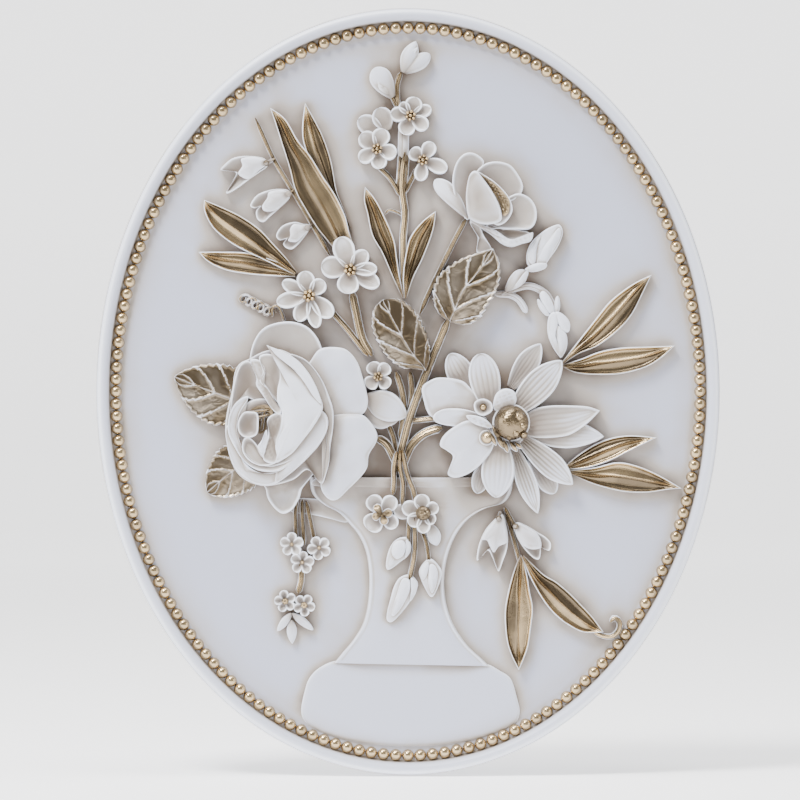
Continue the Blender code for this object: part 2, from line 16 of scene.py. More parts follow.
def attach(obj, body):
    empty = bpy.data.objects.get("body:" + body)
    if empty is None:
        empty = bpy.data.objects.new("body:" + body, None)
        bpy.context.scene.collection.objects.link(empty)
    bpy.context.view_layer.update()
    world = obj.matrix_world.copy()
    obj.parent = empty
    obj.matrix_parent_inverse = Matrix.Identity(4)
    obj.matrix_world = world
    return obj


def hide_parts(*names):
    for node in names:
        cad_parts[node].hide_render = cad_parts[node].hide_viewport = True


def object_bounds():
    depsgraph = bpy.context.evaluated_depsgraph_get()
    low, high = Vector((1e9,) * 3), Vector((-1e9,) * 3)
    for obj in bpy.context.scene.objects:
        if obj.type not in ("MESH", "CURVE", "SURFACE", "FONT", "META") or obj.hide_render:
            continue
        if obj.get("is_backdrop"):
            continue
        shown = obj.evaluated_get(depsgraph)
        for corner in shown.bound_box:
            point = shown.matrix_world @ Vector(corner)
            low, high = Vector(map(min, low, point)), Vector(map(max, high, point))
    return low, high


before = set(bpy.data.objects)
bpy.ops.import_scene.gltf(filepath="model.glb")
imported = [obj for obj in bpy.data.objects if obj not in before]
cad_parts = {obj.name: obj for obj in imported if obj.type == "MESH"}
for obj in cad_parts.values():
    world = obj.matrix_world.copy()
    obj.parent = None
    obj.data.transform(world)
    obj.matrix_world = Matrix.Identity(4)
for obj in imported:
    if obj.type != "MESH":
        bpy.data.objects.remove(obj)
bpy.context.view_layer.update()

# %% [markdown]
# ## A sheet to draw on
# A carver draws a relief flat before cutting it. Here the sheet is ruled in half millimetres: places and
# widths are in its squares, counted from the top left, and heights are in millimetres above the board's
# field. One function turns the drawing into the plaque's own space, so no other line has to think about
# metres.

# %% The drawing sheet
SQUARE = 0.0005
MM = 0.001
SHEET_MIDDLE = (408.0, 392.0)
FIELD_FRONT = 0.010
ROOT_DEPTH = -0.006
HALF_WIDTH = 0.1563
HALF_HEIGHT = 0.1922


def place(across, down, height):
    """Points of the drawing, as metres on the plaque."""
    x = (across - SHEET_MIDDLE[0]) * SQUARE
    z = (SHEET_MIDDLE[1] - down) * SQUARE
    return np.stack([x, -(FIELD_FRONT + height * MM), z], axis=-1)


def through(points, count, closed):
    """Evenly spaced points on a smooth curve through the given ones. A point given twice makes a corner."""
    given = np.array(points, dtype=float)
    if closed:
        padded = np.vstack([given[-1], given, given[:2]])
    else:
        padded = np.vstack([given[0], given, given[-1]])
    fine = []
    share = np.linspace(0.0, 1.0, 12, endpoint=False)[:, None]
    for before, start, end, after in zip(padded, padded[1:], padded[2:], padded[3:]):
        bend = 2 * before - 5 * start + 4 * end - after
        twist = -before + 3 * start - 3 * end + after
        fine.append(start + 0.5 * ((end - before) * share + bend * share**2 + twist * share**3))
    fine = np.vstack(fine + [padded[-2][None]])
    steps = np.linalg.norm(np.diff(fine[:, :2], axis=0), axis=1)
    run = np.concatenate([[0.0], np.cumsum(steps)])
    wanted = np.linspace(0.0, run[-1], count)
    return np.stack([np.interp(wanted, run, column) for column in fine.T], axis=1)


print("sheet ready: the field is", round(2 * HALF_WIDTH / SQUARE), "squares wide at the rim")

# %% [markdown]
# ## The camera
# The photograph looks straight at the plaque. A long lens keeps the high petals from sliding outwards over
# their neighbours, and the frame is about 400 mm wide at the plaque, so half a millimetre is about a pixel.

# %% Camera in front of the plaque
CAMERA_DISTANCE = 2.4
FRAME_WIDTH = 0.4014
CAMERA_X = -0.0040
CAMERA_Z = -0.0042
bpy.ops.object.camera_add(location=(CAMERA_X, -CAMERA_DISTANCE, CAMERA_Z), rotation=(math.pi / 2, 0, 0))
camera = bpy.context.active_object
camera.data.sensor_width = 36.0
camera.data.lens = camera.data.sensor_width * (CAMERA_DISTANCE - FIELD_FRONT) / FRAME_WIDTH
bpy.context.scene.camera = camera
print("lens in mm:", round(camera.data.lens))

# %% [markdown]
# ## Helpers that shape one petal
# Nearly every form of the bouquet is the same kind of thing: a thin curved top with a rounded rim, and
# walls that run straight back into the board, as a mould needs. Each starts as a primitive grid. The grid's
# own x and y say how far across and how far along each point is, a rule moves the points, and then, as by
# hand, the open border is extruded back into the board and filled. A thin shell would be lighter, but a
# cast relief is solid.

# %% Grid, points and paint
def new_grid(name, columns, rows):
    """A primitive grid, with shares across (-1 to 1) and along (0 to 1) for each of its points."""
    bpy.ops.object.select_all(action="DESELECT")
    bpy.ops.mesh.primitive_grid_add(x_subdivisions=columns, y_subdivisions=rows, size=2.0)
    piece = bpy.context.active_object
    piece.name = name
    points = read_points(piece)
    return piece, points[:, 0], (points[:, 1] + 1) / 2


def read_points(piece):
    flat = np.empty(3 * len(piece.data.vertices), dtype=np.float32)
    piece.data.vertices.foreach_get("co", flat)
    return flat.reshape(-1, 3).astype(float)


def write_points(piece, points):
    piece.data.vertices.foreach_set("co", points.astype(np.float32).ravel())
    piece.data.update()


def paint(piece, layer_name, values):
    """Keeps one number for each point, which the materials read as a mask."""
    layer = piece.data.attributes.get(layer_name) or piece.data.attributes.new(layer_name, "FLOAT", "POINT")
    filled = np.broadcast_to(np.asarray(values, dtype=np.float32), (len(piece.data.vertices),))
    layer.data.foreach_set("value", np.ascontiguousarray(filled))


# %% Walls back into the board
MERGE = 0.000001


def root_in_board(piece):
    """Merges the grid's seam, extrudes its open border back into the board and fills the end."""
    bpy.context.view_layer.objects.active = piece
    bpy.ops.object.mode_set(mode="EDIT")
    bpy.ops.mesh.select_mode(type="VERT")
    bpy.ops.mesh.select_all(action="SELECT")
    bpy.ops.mesh.remove_doubles(threshold=MERGE)
    bpy.ops.mesh.select_all(action="DESELECT")
    bpy.ops.mesh.select_non_manifold()
    bpy.ops.mesh.extrude_edges_move()
    bpy.ops.object.mode_set(mode="OBJECT")
    picked = np.zeros(len(piece.data.vertices), dtype=bool)
    piece.data.vertices.foreach_get("select", picked)
    points = read_points(piece)
    points[picked, 1] = ROOT_DEPTH
    write_points(piece, points)
    bpy.ops.object.mode_set(mode="EDIT")
    bpy.ops.mesh.edge_face_add()
    bpy.ops.mesh.select_all(action="SELECT")
    bpy.ops.mesh.normals_make_consistent(inside=False)
    bpy.ops.object.mode_set(mode="OBJECT")


# %% One rule for every rim
LIP_INSET = 0.5
LIP_WIDTH = 0.7
EDGE_CROWDING = 1.4


def rim_shape(distance, roll, roll_width, lip):
    """How a rim changes the height, by the distance in mm from the edge: rolled over, with a raised lip."""
    rolled = roll * np.clip(1 - distance / roll_width, 0, 1) ** 2
    raised = lip * np.exp(-(((distance - LIP_INSET) / LIP_WIDTH) ** 2))
    return raised - rolled


def rim_mask(distance, width=0.62):
    """How pale the rim is painted, by the distance in mm from the edge: paint thinned by use, and a painted
    highlight.
    """
    return 0.5 * np.exp(-((distance / width) ** 4)) + 0.35 * np.exp(-distance / (2.2 * width))


def crowded(side):
    """Moves the inner columns of a grid out towards its edges, where the rim needs them."""
    return np.sign(side) * (1 - (1 - np.abs(side)) ** EDGE_CROWDING)


# %% A plate: any outline round a middle
RING_CROWDING = 1.6
PLATE_COLUMNS = (10, 170)
PLATE_ROWS = (3, 26)


def plate(name, outline, crown, swell=2.0, roll=0.9, roll_width=1.4, lip=0.0, gold=0.0, middle=None,
          ball=False, spacing=1.7, white=0.35, wave=0.0, crumple=0.0, deep=0.0):
    """A form with a free outline of (across, down, height) and one crown height at its middle."""
    heights = np.array(outline, dtype=float)
    rough = np.linalg.norm(np.diff(np.vstack([heights, heights[:1]])[:, :2], axis=0), axis=1).sum()
    columns = int(np.clip(rough / spacing, *PLATE_COLUMNS))
    centre = heights[:, :2].mean(axis=0) if middle is None else np.array(middle, dtype=float)
    reach = np.linalg.norm(heights[:, :2] - centre, axis=1).mean()
    rows = int(np.clip(reach / spacing, *PLATE_ROWS))
    piece, turn, out = new_grid(name, columns, rows)
    edge_curve = through(outline, columns + 1, closed=True)
    step = np.rint((turn + 1) / 2 * columns).astype(int)
    edge = edge_curve[step]
    out = 1 - (1 - out) ** RING_CROWDING
    across = centre[0] + (edge[:, 0] - centre[0]) * out
    down = centre[1] + (edge[:, 1] - centre[1]) * out
    radius = np.linalg.norm(edge[:, :2] - centre, axis=1) * 0.5
    distance = (1 - out) * radius
    if ball:
        height = edge[:, 2] + (crown - edge[:, 2]) * np.sqrt(np.clip(1 - out**2, 0, 1))
    else:
        height = crown + (edge[:, 2] - crown) * out**swell
    inside = np.clip(distance / 2.0, 0, 1)
    height = height + inside * wave * np.sin(across / 7 + down / 13) * np.cos(down / 8 - across / 17)
    height = height + inside * crumple * np.sin(across * 0.9 + down * 0.5) * np.sin(down * 1.1 - across * 0.3)
    height = height + rim_shape(distance, roll, roll_width, lip)
    write_points(piece, place(across, down, height))
    paint(piece, "rim", rim_mask(distance) * (0.0 if ball else 1.0))
    paint(piece, "gold", gold)
    paint(piece, "white", white)
    # Extra darkening, most at the middle of a cupped plate: wash and painted shade.
    paint(piece, "deep", deep * (1.2 - 0.8 * out**2))
    root_in_board(piece)
    return piece


def circle(across, down, radius, height, count=12):
    """A round outline on the sheet."""
    turns = [math.tau * i / count for i in range(count)]
    return [(across + radius * math.cos(turn), down + radius * math.sin(turn), height) for turn in turns]


# %% A petal: a base, a tip and a width between them
VEIN_SLANT = 0.34
VEIN_WIDTH = 0.05
VEIN_HEIGHT = 0.9
MIDRIB_WIDTH = 0.32


def half_share(along, widest, blunt, neck):
    """Half width as a share of the greatest: it opens from the neck, and closes to a more or less blunt tip."""
    opening = neck + (1 - neck) * np.sin(np.clip(along / widest, 0, 1) * math.pi / 2)
    closing = np.cos(np.clip((along - widest) / (1 - widest), 0, 1) * math.pi / 2)
    return opening * np.clip(closing, 0, 1) ** blunt


def petal(name, base, tip, width, low, high, dome=0.0, widest=0.5, blunt=0.5, neck=0.3, bow=0.0, roll=0.6,
          roll_width=1.0, lip=0.5, rib=0.0, gold=0.0, columns=12, rows=14, veins=0, teeth=0.0, white=0.35,
          crumple=0.0, lines=0.0, line_count=3, gutters=0.0, shaded_half=0, sides=None, deep=0.3):
    """A petal or leaf from base to tip, or between drawn sides. Low and high are its rim at base and tip."""
    piece, side, along = new_grid(name, columns, rows)
    side = crowded(side)
    if sides:
        step = np.rint(along * rows).astype(int)
        first_side = through(sides[0], rows + 1, closed=False)[step]
        second_side = through(sides[1], rows + 1, closed=False)[step]
        half = np.linalg.norm(second_side - first_side, axis=1) / 2
        toothed = side * (1 + teeth * (np.mod(along * 15.0, 1.0) - 0.5) * (along < 0.95))
        spot = (first_side * (1 - toothed[:, None]) + second_side * (1 + toothed[:, None])) / 2
    else:
        along = np.sin(along * math.pi / 2) ** 0.9
        start, end = np.array(base, dtype=float), np.array(tip, dtype=float)
        length = np.linalg.norm(end - start)
        ahead = (end - start) / length
        beside = np.array([ahead[1], -ahead[0]])
        half = width / 2 * half_share(along, widest, blunt, neck)
        if teeth:
            half = half * (1 + teeth * (np.mod(along * 13.0, 1.0) - 0.5) * (along < 0.97))
        aside = side * half + bow * np.sin(math.pi * along)
        spot = start + ahead * (length * along)[:, None] + beside * aside[:, None]
    across, down = spot[:, 0], spot[:, 1]
    distance = (1 - np.abs(side)) * half * 0.5
    inside = np.clip(distance / 0.8, 0, 1)
    height = low + (high - low) * along + dome * (1 - side**2) * np.sin(math.pi * (0.12 + 0.88 * along))
    from_rib = side * half * 0.5
    fold = np.exp(-((from_rib / 0.45) ** 2))
    free = np.clip(along / 0.3, 0, 1)
    height = height + rib * fold * np.clip(1.1 - along, 0, 1)
    height = height + rim_shape(distance, roll, roll_width, lip * free)
    height = height - gutters * np.sin(math.pi * np.abs(side)) * np.clip(half / 7, 0, 1)
    fading = np.clip(2.5 * (1 - along), 0, 1)
    height = height + lines * np.cos(math.pi * side * line_count * 2) * inside * fading
    height = height + crumple * np.sin(across * 0.8 + down * 0.5) * np.sin(down * 0.9 - across * 0.4) * inside
    cover = np.clip((distance - 0.28) / 0.2, 0, 1) * (along < 0.98)
    rim = rim_mask(distance, 0.34 if gold else 0.62) * free
    if veins:
        order = (along - VEIN_SLANT * np.abs(side)) * veins
        off_vein = np.abs(order - np.rint(order))
        vein = np.exp(-((off_vein / VEIN_WIDTH) ** 2)) * inside * np.clip(1.25 - np.abs(side), 0, 1)
        vein = np.maximum(vein, np.exp(-((from_rib / MIDRIB_WIDTH) ** 2)))
        height = height + VEIN_HEIGHT * vein
        patch = np.clip(off_vein / 0.16, 0, 1) * np.clip(distance / 1.6, 0, 1)
        cover = np.clip(0.42 + 0.8 * patch, 0, 1) * np.clip(1 - 0.8 * vein, 0, 1)
        rim = np.maximum(rim, 0.18 * vein)
        deep = deep + 0.3 * patch
    write_points(piece, place(across, down, height))
    paint(piece, "rim", rim)
    paint(piece, "gold", gold * cover)
    paint(piece, "white", white)
    # Extra darkening: towards the base, wash and painted shade; on one half of a leaf, painted shade.
    paint(piece, "deep", deep * (1.0 if veins else (1 - along) ** 2) + 0.4 * (side * shaded_half > 0.04))
    root_in_board(piece)
    return piece


# %% A stalk: a rounded bar along a path
STALK_SPACING = 2.4
STALK_ROWS = (6, 90)


def stalk(name, path, width, low, high, gold=1.0, groove=0.5, taper=1.0, columns=10):
    """A stalk through (across, down) points, round on top, with a shallow groove along its middle."""
    rough = np.linalg.norm(np.diff(np.array(path, dtype=float), axis=0), axis=1).sum()
    rows = int(np.clip(rough / STALK_SPACING, *STALK_ROWS))
    piece, side, along = new_grid(name, columns, rows)
    line = through(path, rows + 1, closed=False)
    step = np.rint(along * rows).astype(int)
    heading = np.gradient(line, axis=0)
    heading = heading / np.linalg.norm(heading, axis=1)[:, None]
    half = width / 2 * (1 + (taper - 1) * along) * np.clip(0.35 + 9 * along * (1 - along), 0, 1)
    across = line[step, 0] + heading[step, 1] * side * half
    down = line[step, 1] - heading[step, 0] * side * half
    height = low + (high - low) * np.sqrt(np.clip(1 - 0.96 * side**2, 0, 1))
    height = height - groove * np.exp(-(((side + 0.15) / 0.2) ** 2))
    write_points(piece, place(across, down, height))
    # Pale edges: the ivory left along them, with a painted highlight.
    paint(piece, "rim", 0.8 * np.clip(4 * np.abs(side) - 3, 0, 1))
    paint(piece, "gold", gold * np.clip(2.7 - 2.6 * np.abs(side), 0, 1))
    paint(piece, "white", 0.5)
    # Darker gold along one side of the stalk: painted shade.
    paint(piece, "deep", gold * (0.08 + 0.35 * (side > 0.1)))
    root_in_board(piece)
    return piece


# %% Joining the forms of one piece
def join(name, forms):
    """Makes one object of the forms and shades it smooth, with its walls kept crisp."""
    bpy.ops.object.select_all(action="DESELECT")
    for form in forms:
        form.select_set(True)
    bpy.context.view_layer.objects.active = forms[0]
    bpy.ops.object.join()
    piece = bpy.context.active_object
    piece.name = name
    piece.data.name = name
    bpy.ops.object.shade_smooth_by_angle(angle=math.radians(52))
    print(name, "has", len(piece.data.polygons), "faces from", len(forms), "forms")
    return piece


pieces = {}

# %% [markdown]
# ## The board
# The board is one closed surface of revolution, except that the circle is an oval. It could be a stack of cut
# discs, but a single grid wrapped round the oval gives an unbroken rim: the rows run from the middle of the
# back, round the edge, over the rim's soft roll, down to the beads' bed, and in over the
# field. The rows over the field stay close together, because the warm wash and the painted shade are kept on
# its points.

# %% Board, rim and field
RIM_SECTION = (
    (0.0, 0.0), (0.0, 6.0), (0.0, 12.6), (0.25, 14.4), (0.8, 15.7), (1.7, 16.6), (2.8, 17.0), (3.9, 16.9),
    (4.8, 16.4), (5.6, 15.5), (6.2, 14.2), (6.5, 12.8), (6.65, 11.8), (6.85, 11.1), (7.2, 10.8), (7.8, 10.7),
    (9.8, 10.6), (12.0, 10.4), (12.9, 10.1), (13.8, 10.0),
)
BACK_SHARES = (0.0, 0.3, 0.6, 0.85)
FIELD_RINGS = 110
BOARD_COLUMNS = 420


def board_rows():
    """The half width, half height and depth in metres of each row of the board, from back to front."""
    rows = [(HALF_WIDTH * share, HALF_HEIGHT * share, 0.0) for share in BACK_SHARES]
    rows += [(HALF_WIDTH - inset * MM, HALF_HEIGHT - inset * MM, depth * MM) for inset, depth in RIM_SECTION]
    wide, tall = rows[-1][0], rows[-1][1]
    for i in range(1, FIELD_RINGS + 1):
        share = 1 - i / FIELD_RINGS
        rows.append((wide * share, tall * share, FIELD_FRONT))
    return np.array(rows)


rows = board_rows()
board, turn, along = new_grid("board", BOARD_COLUMNS, len(rows) - 1)
row = rows[np.rint(along * (len(rows) - 1)).astype(int)]
angle = np.where(turn > 0.99999, -1.0, turn) * math.pi
write_points(board, np.stack([row[:, 0] * np.cos(angle), -row[:, 2], row[:, 1] * np.sin(angle)], axis=1))
inset = (HALF_WIDTH - row[:, 0]) * 1000
# A pale band on the rim's front slope, near its outer edge: a painted highlight where the light catches the
# roll.
paint(board, "rim", 0.9 * np.exp(-(((inset - 1.6) / 1.0) ** 2)) * (row[:, 2] > 0.012))
paint(board, "gold", 0.0)
paint(board, "white", np.where((inset < 6.6) & (row[:, 2] > 0.001), 0.25, 0.0))
# Darker in the groove outside the beads and in the beads' bed: wash and painted shade.
groove_wash_and_shade = 0.1 * np.exp(-(((inset - 7.3) / 0.8) ** 2))
bead_bed_wash_and_shade = 0.15 * np.exp(-(((inset - 9.8) / 1.6) ** 2))
paint(board, "deep", groove_wash_and_shade + bead_bed_wash_and_shade)
bpy.ops.object.mode_set(mode="EDIT")
bpy.ops.mesh.select_all(action="SELECT")
bpy.ops.mesh.remove_doubles(threshold=MERGE)
bpy.ops.mesh.normals_make_consistent(inside=False)
bpy.ops.object.mode_set(mode="OBJECT")
print("board has", len(board.data.polygons), "faces")

# %% [markdown]
# ## The nail pocket
# The plaque hangs on a nail whose head goes into a pocket in the flat back. A Boolean cut with a plain
# block is the quickest way to a sharp rectangular pocket, and it leaves the rest of the board untouched.

# %% Pocket in the back
POCKET = (0.016, 0.014, 0.010)
POCKET_FROM_TOP = 0.034
POCKET_MIDDLE_Z = HALF_HEIGHT - POCKET_FROM_TOP - POCKET[2] / 2
bpy.ops.object.select_all(action="DESELECT")
bpy.ops.mesh.primitive_cube_add(size=1.0, location=(0, 0, POCKET_MIDDLE_Z), scale=POCKET)
cutter = bpy.context.active_object
bpy.context.view_layer.objects.active = board
cut = board.modifiers.new("nail pocket", "BOOLEAN")
cut.operation = "DIFFERENCE"
cut.solver = "EXACT"
cut.object = cutter
bpy.ops.object.modifier_apply(modifier=cut.name)
bpy.data.objects.remove(cutter)
pieces["board"] = join("board", [board])

# %% [markdown]
# ## The ring of beads
# Round beads stand shoulder to shoulder in the groove inside the rim. One bead is modelled, a low sphere with
# its pole to the front, and copied along the oval. Equal angles would crowd them at the sides, so the places
# are spaced by the length of the oval instead.

# %% Beads round the field
BEAD_RADIUS = 0.00308
BEAD_INSET = 0.0098
BEAD_COUNT = 168
BEAD_MIDDLE = 0.01115
OVAL_STEPS = 4001
fine_angle = np.linspace(0, math.tau, OVAL_STEPS)
oval_x = (HALF_WIDTH - BEAD_INSET) * np.cos(fine_angle)
oval_z = (HALF_HEIGHT - BEAD_INSET) * np.sin(fine_angle)
oval_run = np.concatenate([[0.0], np.cumsum(np.hypot(np.diff(oval_x), np.diff(oval_z)))])
bpy.ops.object.select_all(action="DESELECT")
bpy.ops.mesh.primitive_uv_sphere_add(segments=14, ring_count=8, radius=BEAD_RADIUS)
bead = bpy.context.active_object
bpy.ops.object.mode_set(mode="EDIT")
bpy.ops.mesh.select_all(action="SELECT")
bpy.ops.transform.rotate(value=math.pi / 2, orient_axis="X", center_override=(0, 0, 0))
bpy.ops.object.mode_set(mode="OBJECT")
bead_shape = read_points(bead)
beads = []
for i in range(BEAD_COUNT):
    copy = bead.copy()
    copy.data = bead.data.copy()
    bpy.context.collection.objects.link(copy)
    run = oval_run[-1] * i / BEAD_COUNT
    shift = np.array([np.interp(run, oval_run, oval_x), -BEAD_MIDDLE, np.interp(run, oval_run, oval_z)])
    write_points(copy, bead_shape + shift)
    paint(copy, "rim", 0.0)
    paint(copy, "gold", 1.0)
    paint(copy, "white", 0.0)
    paint(copy, "deep", 0.0)
    beads.append(copy)
bpy.data.objects.remove(bead)
pieces["beads"] = join("beads", beads)

# %% [markdown]
# ## The vase
# The vase is low relief: a wide lip, a waisted body and the block that it stands on. Its sides are drawn as
# two curves, left and right, and a grid is stretched between them. Along each side runs a thin raised line,
# and the face between them swells only a little, so it stays calm behind the flowers.

# %% Vase body, lip and foot block
VASE_LEFT = (
    (309, 478), (312, 494), (323, 505), (338, 513), (348, 523), (359, 537), (366, 554), (369, 576),
    (368, 602), (363, 624), (353, 641), (343, 653), (334, 664),
)
VASE_RIGHT = (
    (514, 478), (511, 494), (503, 504), (486, 509), (472, 517), (462, 527), (454, 540), (448, 556),
    (444.5, 576), (445, 596), (449, 614), (456, 630), (468, 647), (482, 660), (489, 667),
)
VASE_FLATNESS = 6


def between_sides(name, left_side, right_side, rows, columns, edge_height, middle_height):
    """A face stretched between two drawn sides, with a thin raised line along each."""
    piece, side, along = new_grid(name, columns, rows)
    side = crowded(crowded(side))
    left_line = through(left_side, rows + 1, closed=False)
    right_line = through(right_side, rows + 1, closed=False)
    step = np.rint(along * rows).astype(int)
    share = (side + 1) / 2
    across = left_line[step, 0] * (1 - share) + right_line[step, 0] * share
    down = left_line[step, 1] * (1 - share) + right_line[step, 1] * share
    width = right_line[step, 0] - left_line[step, 0]
    distance = (1 - np.abs(side)) * width * 0.25
    swell = 1 - np.abs(side) ** VASE_FLATNESS
    height = edge_height + (middle_height - edge_height) * swell
    raised = 0.8 * np.exp(-(((distance - 1.0) / 0.7) ** 2))
    rolled = 1.2 * np.clip(1 - distance, 0, 1) ** 2
    height = height + raised - rolled
    write_points(piece, place(across, down, height))
    # A pale line along each side: a painted highlight, with paler paint there.
    paint(piece, "rim", 0.6 * np.exp(-(((distance - 0.8) / 0.9) ** 2)))
    paint(piece, "gold", 0.0)
    paint(piece, "white", 0.12)
    paint(piece, "deep", 0.0)
    root_in_board(piece)
    return piece


body = between_sides("vase_body", VASE_LEFT, VASE_RIGHT, 90, 40, 2.6, 4.6)
block_outline = (
    (336, 662, 2.4), (320, 668.5, 2.6), (310, 678, 2.6), (305, 690, 2.4), (301, 715, 1.6), (312, 730, 0.4),
    (340, 741, 0.2), (375, 747, 0.1), (410, 749, 0.1), (445, 747, 0.1), (480, 741, 0.2), (510, 730, 0.4),
    (520, 716, 1.6), (517, 698, 2.4), (511, 680, 2.6), (500, 672, 2.6), (486, 665, 2.4),
    (461, 662, 2.0), (430, 662, 2.0), (397, 662, 2.0), (364, 661, 2.0),
)
block = plate("foot_block", block_outline, 2.9, swell=8, roll=1.3, roll_width=2.2, lip=0.35, white=0.12,
              middle=(411, 700))
lip_outline = (
    (316, 478, 4.4), (316, 478, 4.4), (360, 478, 4.7), (411, 478, 4.9), (460, 478, 4.7), (507, 478, 4.4),
    (507, 478, 4.4), (509, 486, 4.0), (460, 488.5, 4.2), (411, 489, 4.3), (360, 488.5, 4.2), (313, 486, 4.0),
)
band = plate("vase_band", lip_outline, 4.8, swell=6, roll=0.9, roll_width=1.6, white=0.3, middle=(411, 483))
shoulder_outline = (
    (290, 500, 0.3), (318, 500, 1.6), (338, 506, 1.8), (352, 514, 1.6), (347, 523, 1.4), (330, 519.5, 1.3),
    (312, 515.5, 1.0), (290, 512, 0.2),
)
shoulder = plate("vase_shoulder", shoulder_outline, 1.6, roll=0.4, lip=0.1, white=0.0, deep=0.2)
pieces["vase"] = join("vase", [body, block, band, shoulder])

# %% [markdown]
# ## The rose
# The rose is the highest form. It is a pile of plates, laid as a florist would wire them: four outer
# petals, then the heart, then the wraps round it and the folds at its middle. Every outline carries its own
# heights, so one edge of a petal can lie low while the other curls up over its neighbour.

# %% Outer petals of the rose
rose = [
    plate("rose_back_top", (
        (251, 372, 8.5), (250, 357, 9.0), (254, 342, 9.2), (262, 330, 9.4), (274, 324, 9.4), (290, 322, 9.4),
        (305, 326, 9.6), (315, 335, 9.6), (321, 347, 9.4), (322, 362, 9.0), (300, 375, 8.0), (272, 378, 8.0),
    ), 6.0, swell=2.2, lip=0.7, roll=0.5, middle=(288, 356), deep=0.1),
    plate("rose_right_up", (
        (306, 372, 9.5), (312, 359, 10.4), (320, 349.5, 10.8), (334, 347.5, 11.0), (347, 350.5, 11.0),
        (357, 362, 11.2), (362, 376, 11.4), (366, 390, 11.4), (368, 402, 11.4), (365, 412, 10.6),
        (358, 416, 10.0), (340, 419, 9.4), (322, 420, 9.0), (310, 400, 9.0),
    ), 12.9, swell=2.6, lip=0.55, roll=1.4, roll_width=2.2, middle=(341, 384), wave=0.4, white=0.3),
    plate("rose_right_low", (
        (318, 420, 9.6), (340, 414, 10.6), (360, 414.5, 11.2), (370, 422, 11.4), (377, 434, 11.6),
        (376, 443, 11.6), (369, 455, 11.4), (367, 468, 11.4), (360, 478, 11.2), (348, 490, 11.0),
        (337, 500, 10.6), (328, 499, 10.4), (321, 488, 10.4), (322, 470, 10.2), (326, 450, 9.8),
    ), 13.2, swell=2.6, lip=0.5, roll=1.5, roll_width=2.4, middle=(347, 452), wave=0.45, white=0.3),
    plate("rose_below", (
        (264, 480, 9.0), (266, 490, 9.4), (268, 499, 9.6), (275, 509, 9.8), (283, 514, 10.0),
        (292, 510, 10.2), (299, 499, 11.4), (302, 489, 12.0), (312, 476, 11.6), (320, 462, 11.0),
        (312, 455, 10.6), (290, 470, 10.5),
    ), 8.2, swell=1.8, lip=0.8, roll=0.5, middle=(285, 490), white=0.5),
]

# %% Heart of the rose and the wraps round it
rose += [
    plate("rose_heart", (
        (250, 359, 13.0), (240, 364, 12.6), (235, 373, 12.4), (232.5, 390, 12.2), (228, 409, 12.0),
        (225.5, 427, 12.0), (227, 444, 12.2), (232, 463, 12.4), (240, 476, 12.6), (254, 484, 13.0),
        (270, 486, 13.4), (293, 480, 14.0), (308, 470, 14.6), (322, 484, 14.0), (328, 464, 14.8),
        (331, 444, 15.2), (333, 430, 15.4), (333, 412, 15.4), (329, 397, 15.4), (321, 380, 15.2),
        (310, 364, 15.0), (296, 357, 14.8), (280, 350, 14.4), (264, 352, 13.6),
    ), 12.2, swell=2.2, roll=0.8, roll_width=1.4, lip=0.8, middle=(280, 420), deep=0.4),
    plate("rose_left_cup", (
        (241, 365, 14.6), (250, 362, 15.0), (257, 373, 15.4), (262, 388, 15.8), (270, 400, 15.6),
        (262, 404, 15.0), (247, 398, 14.8), (238, 402, 14.6), (231, 414, 14.4), (232, 398, 14.4),
        (235, 380, 14.4),
    ), 12.6, swell=1.5, roll=0.4, roll_width=1.0, lip=0.7, middle=(250, 386), deep=0.75),
    plate("rose_right_wrap", (
        (290, 355, 16.4), (302, 358, 16.8), (312, 366, 17.0), (322, 380, 17.2), (329, 396, 17.2),
        (333.5, 412, 17.2), (333, 431, 17.2), (330, 446, 17.0), (329, 464, 16.4), (322.5, 484, 15.6),
        (325, 460, 16.0), (327, 440, 16.4), (327, 425, 16.6), (324, 408, 16.8), (316, 388, 17.0),
        (304, 370, 17.0),
    ), 16.8, swell=2.0, roll=0.6, roll_width=0.9, lip=0.9, middle=(322, 402)),
    plate("rose_low_wrap", (
        (327, 416, 18.6), (328, 428, 18.6), (321, 443, 18.4), (309, 457, 18.0), (294, 471, 17.2),
        (277, 483, 16.4), (276, 474, 17.0), (280, 456, 17.6), (294, 440, 18.2), (308, 422, 18.8),
        (318, 410, 19.0),
    ), 19.0, swell=2.0, roll=0.9, roll_width=1.4, lip=0.6, middle=(304, 450), white=0.4),
    plate("rose_bottom_wrap", (
        (226, 432, 15.6), (230, 426, 16.2), (237, 445, 17.0), (243, 460, 17.4), (254, 470, 17.6),
        (267, 474, 17.6), (281, 471, 17.6), (296, 461, 18.2), (286, 475, 17.2), (276, 484, 16.2),
        (262, 485, 15.8), (250, 481, 15.6), (238, 472, 15.4), (230, 456, 15.4),
    ), 16.6, swell=1.6, roll=0.9, roll_width=1.4, lip=0.6, middle=(246, 471), white=0.45),
    plate("rose_left_wrap", (
        (249, 397, 16.6), (240, 400, 16.8), (233, 408, 16.8), (229, 420, 16.8), (229, 434, 16.8),
        (236, 449, 17.2), (244, 461, 17.6), (255, 469, 18.0), (268, 472, 18.2), (282, 470, 18.2),
        (296, 459, 18.4), (284, 464, 18.2), (270, 467, 18.0), (256, 463, 17.8), (246, 454, 17.6),
        (240, 442, 17.4), (237, 428, 17.2), (240, 412, 17.0),
    ), 16.9, swell=2.0, roll=0.8, roll_width=1.2, lip=0.7, middle=(240, 440)),
]

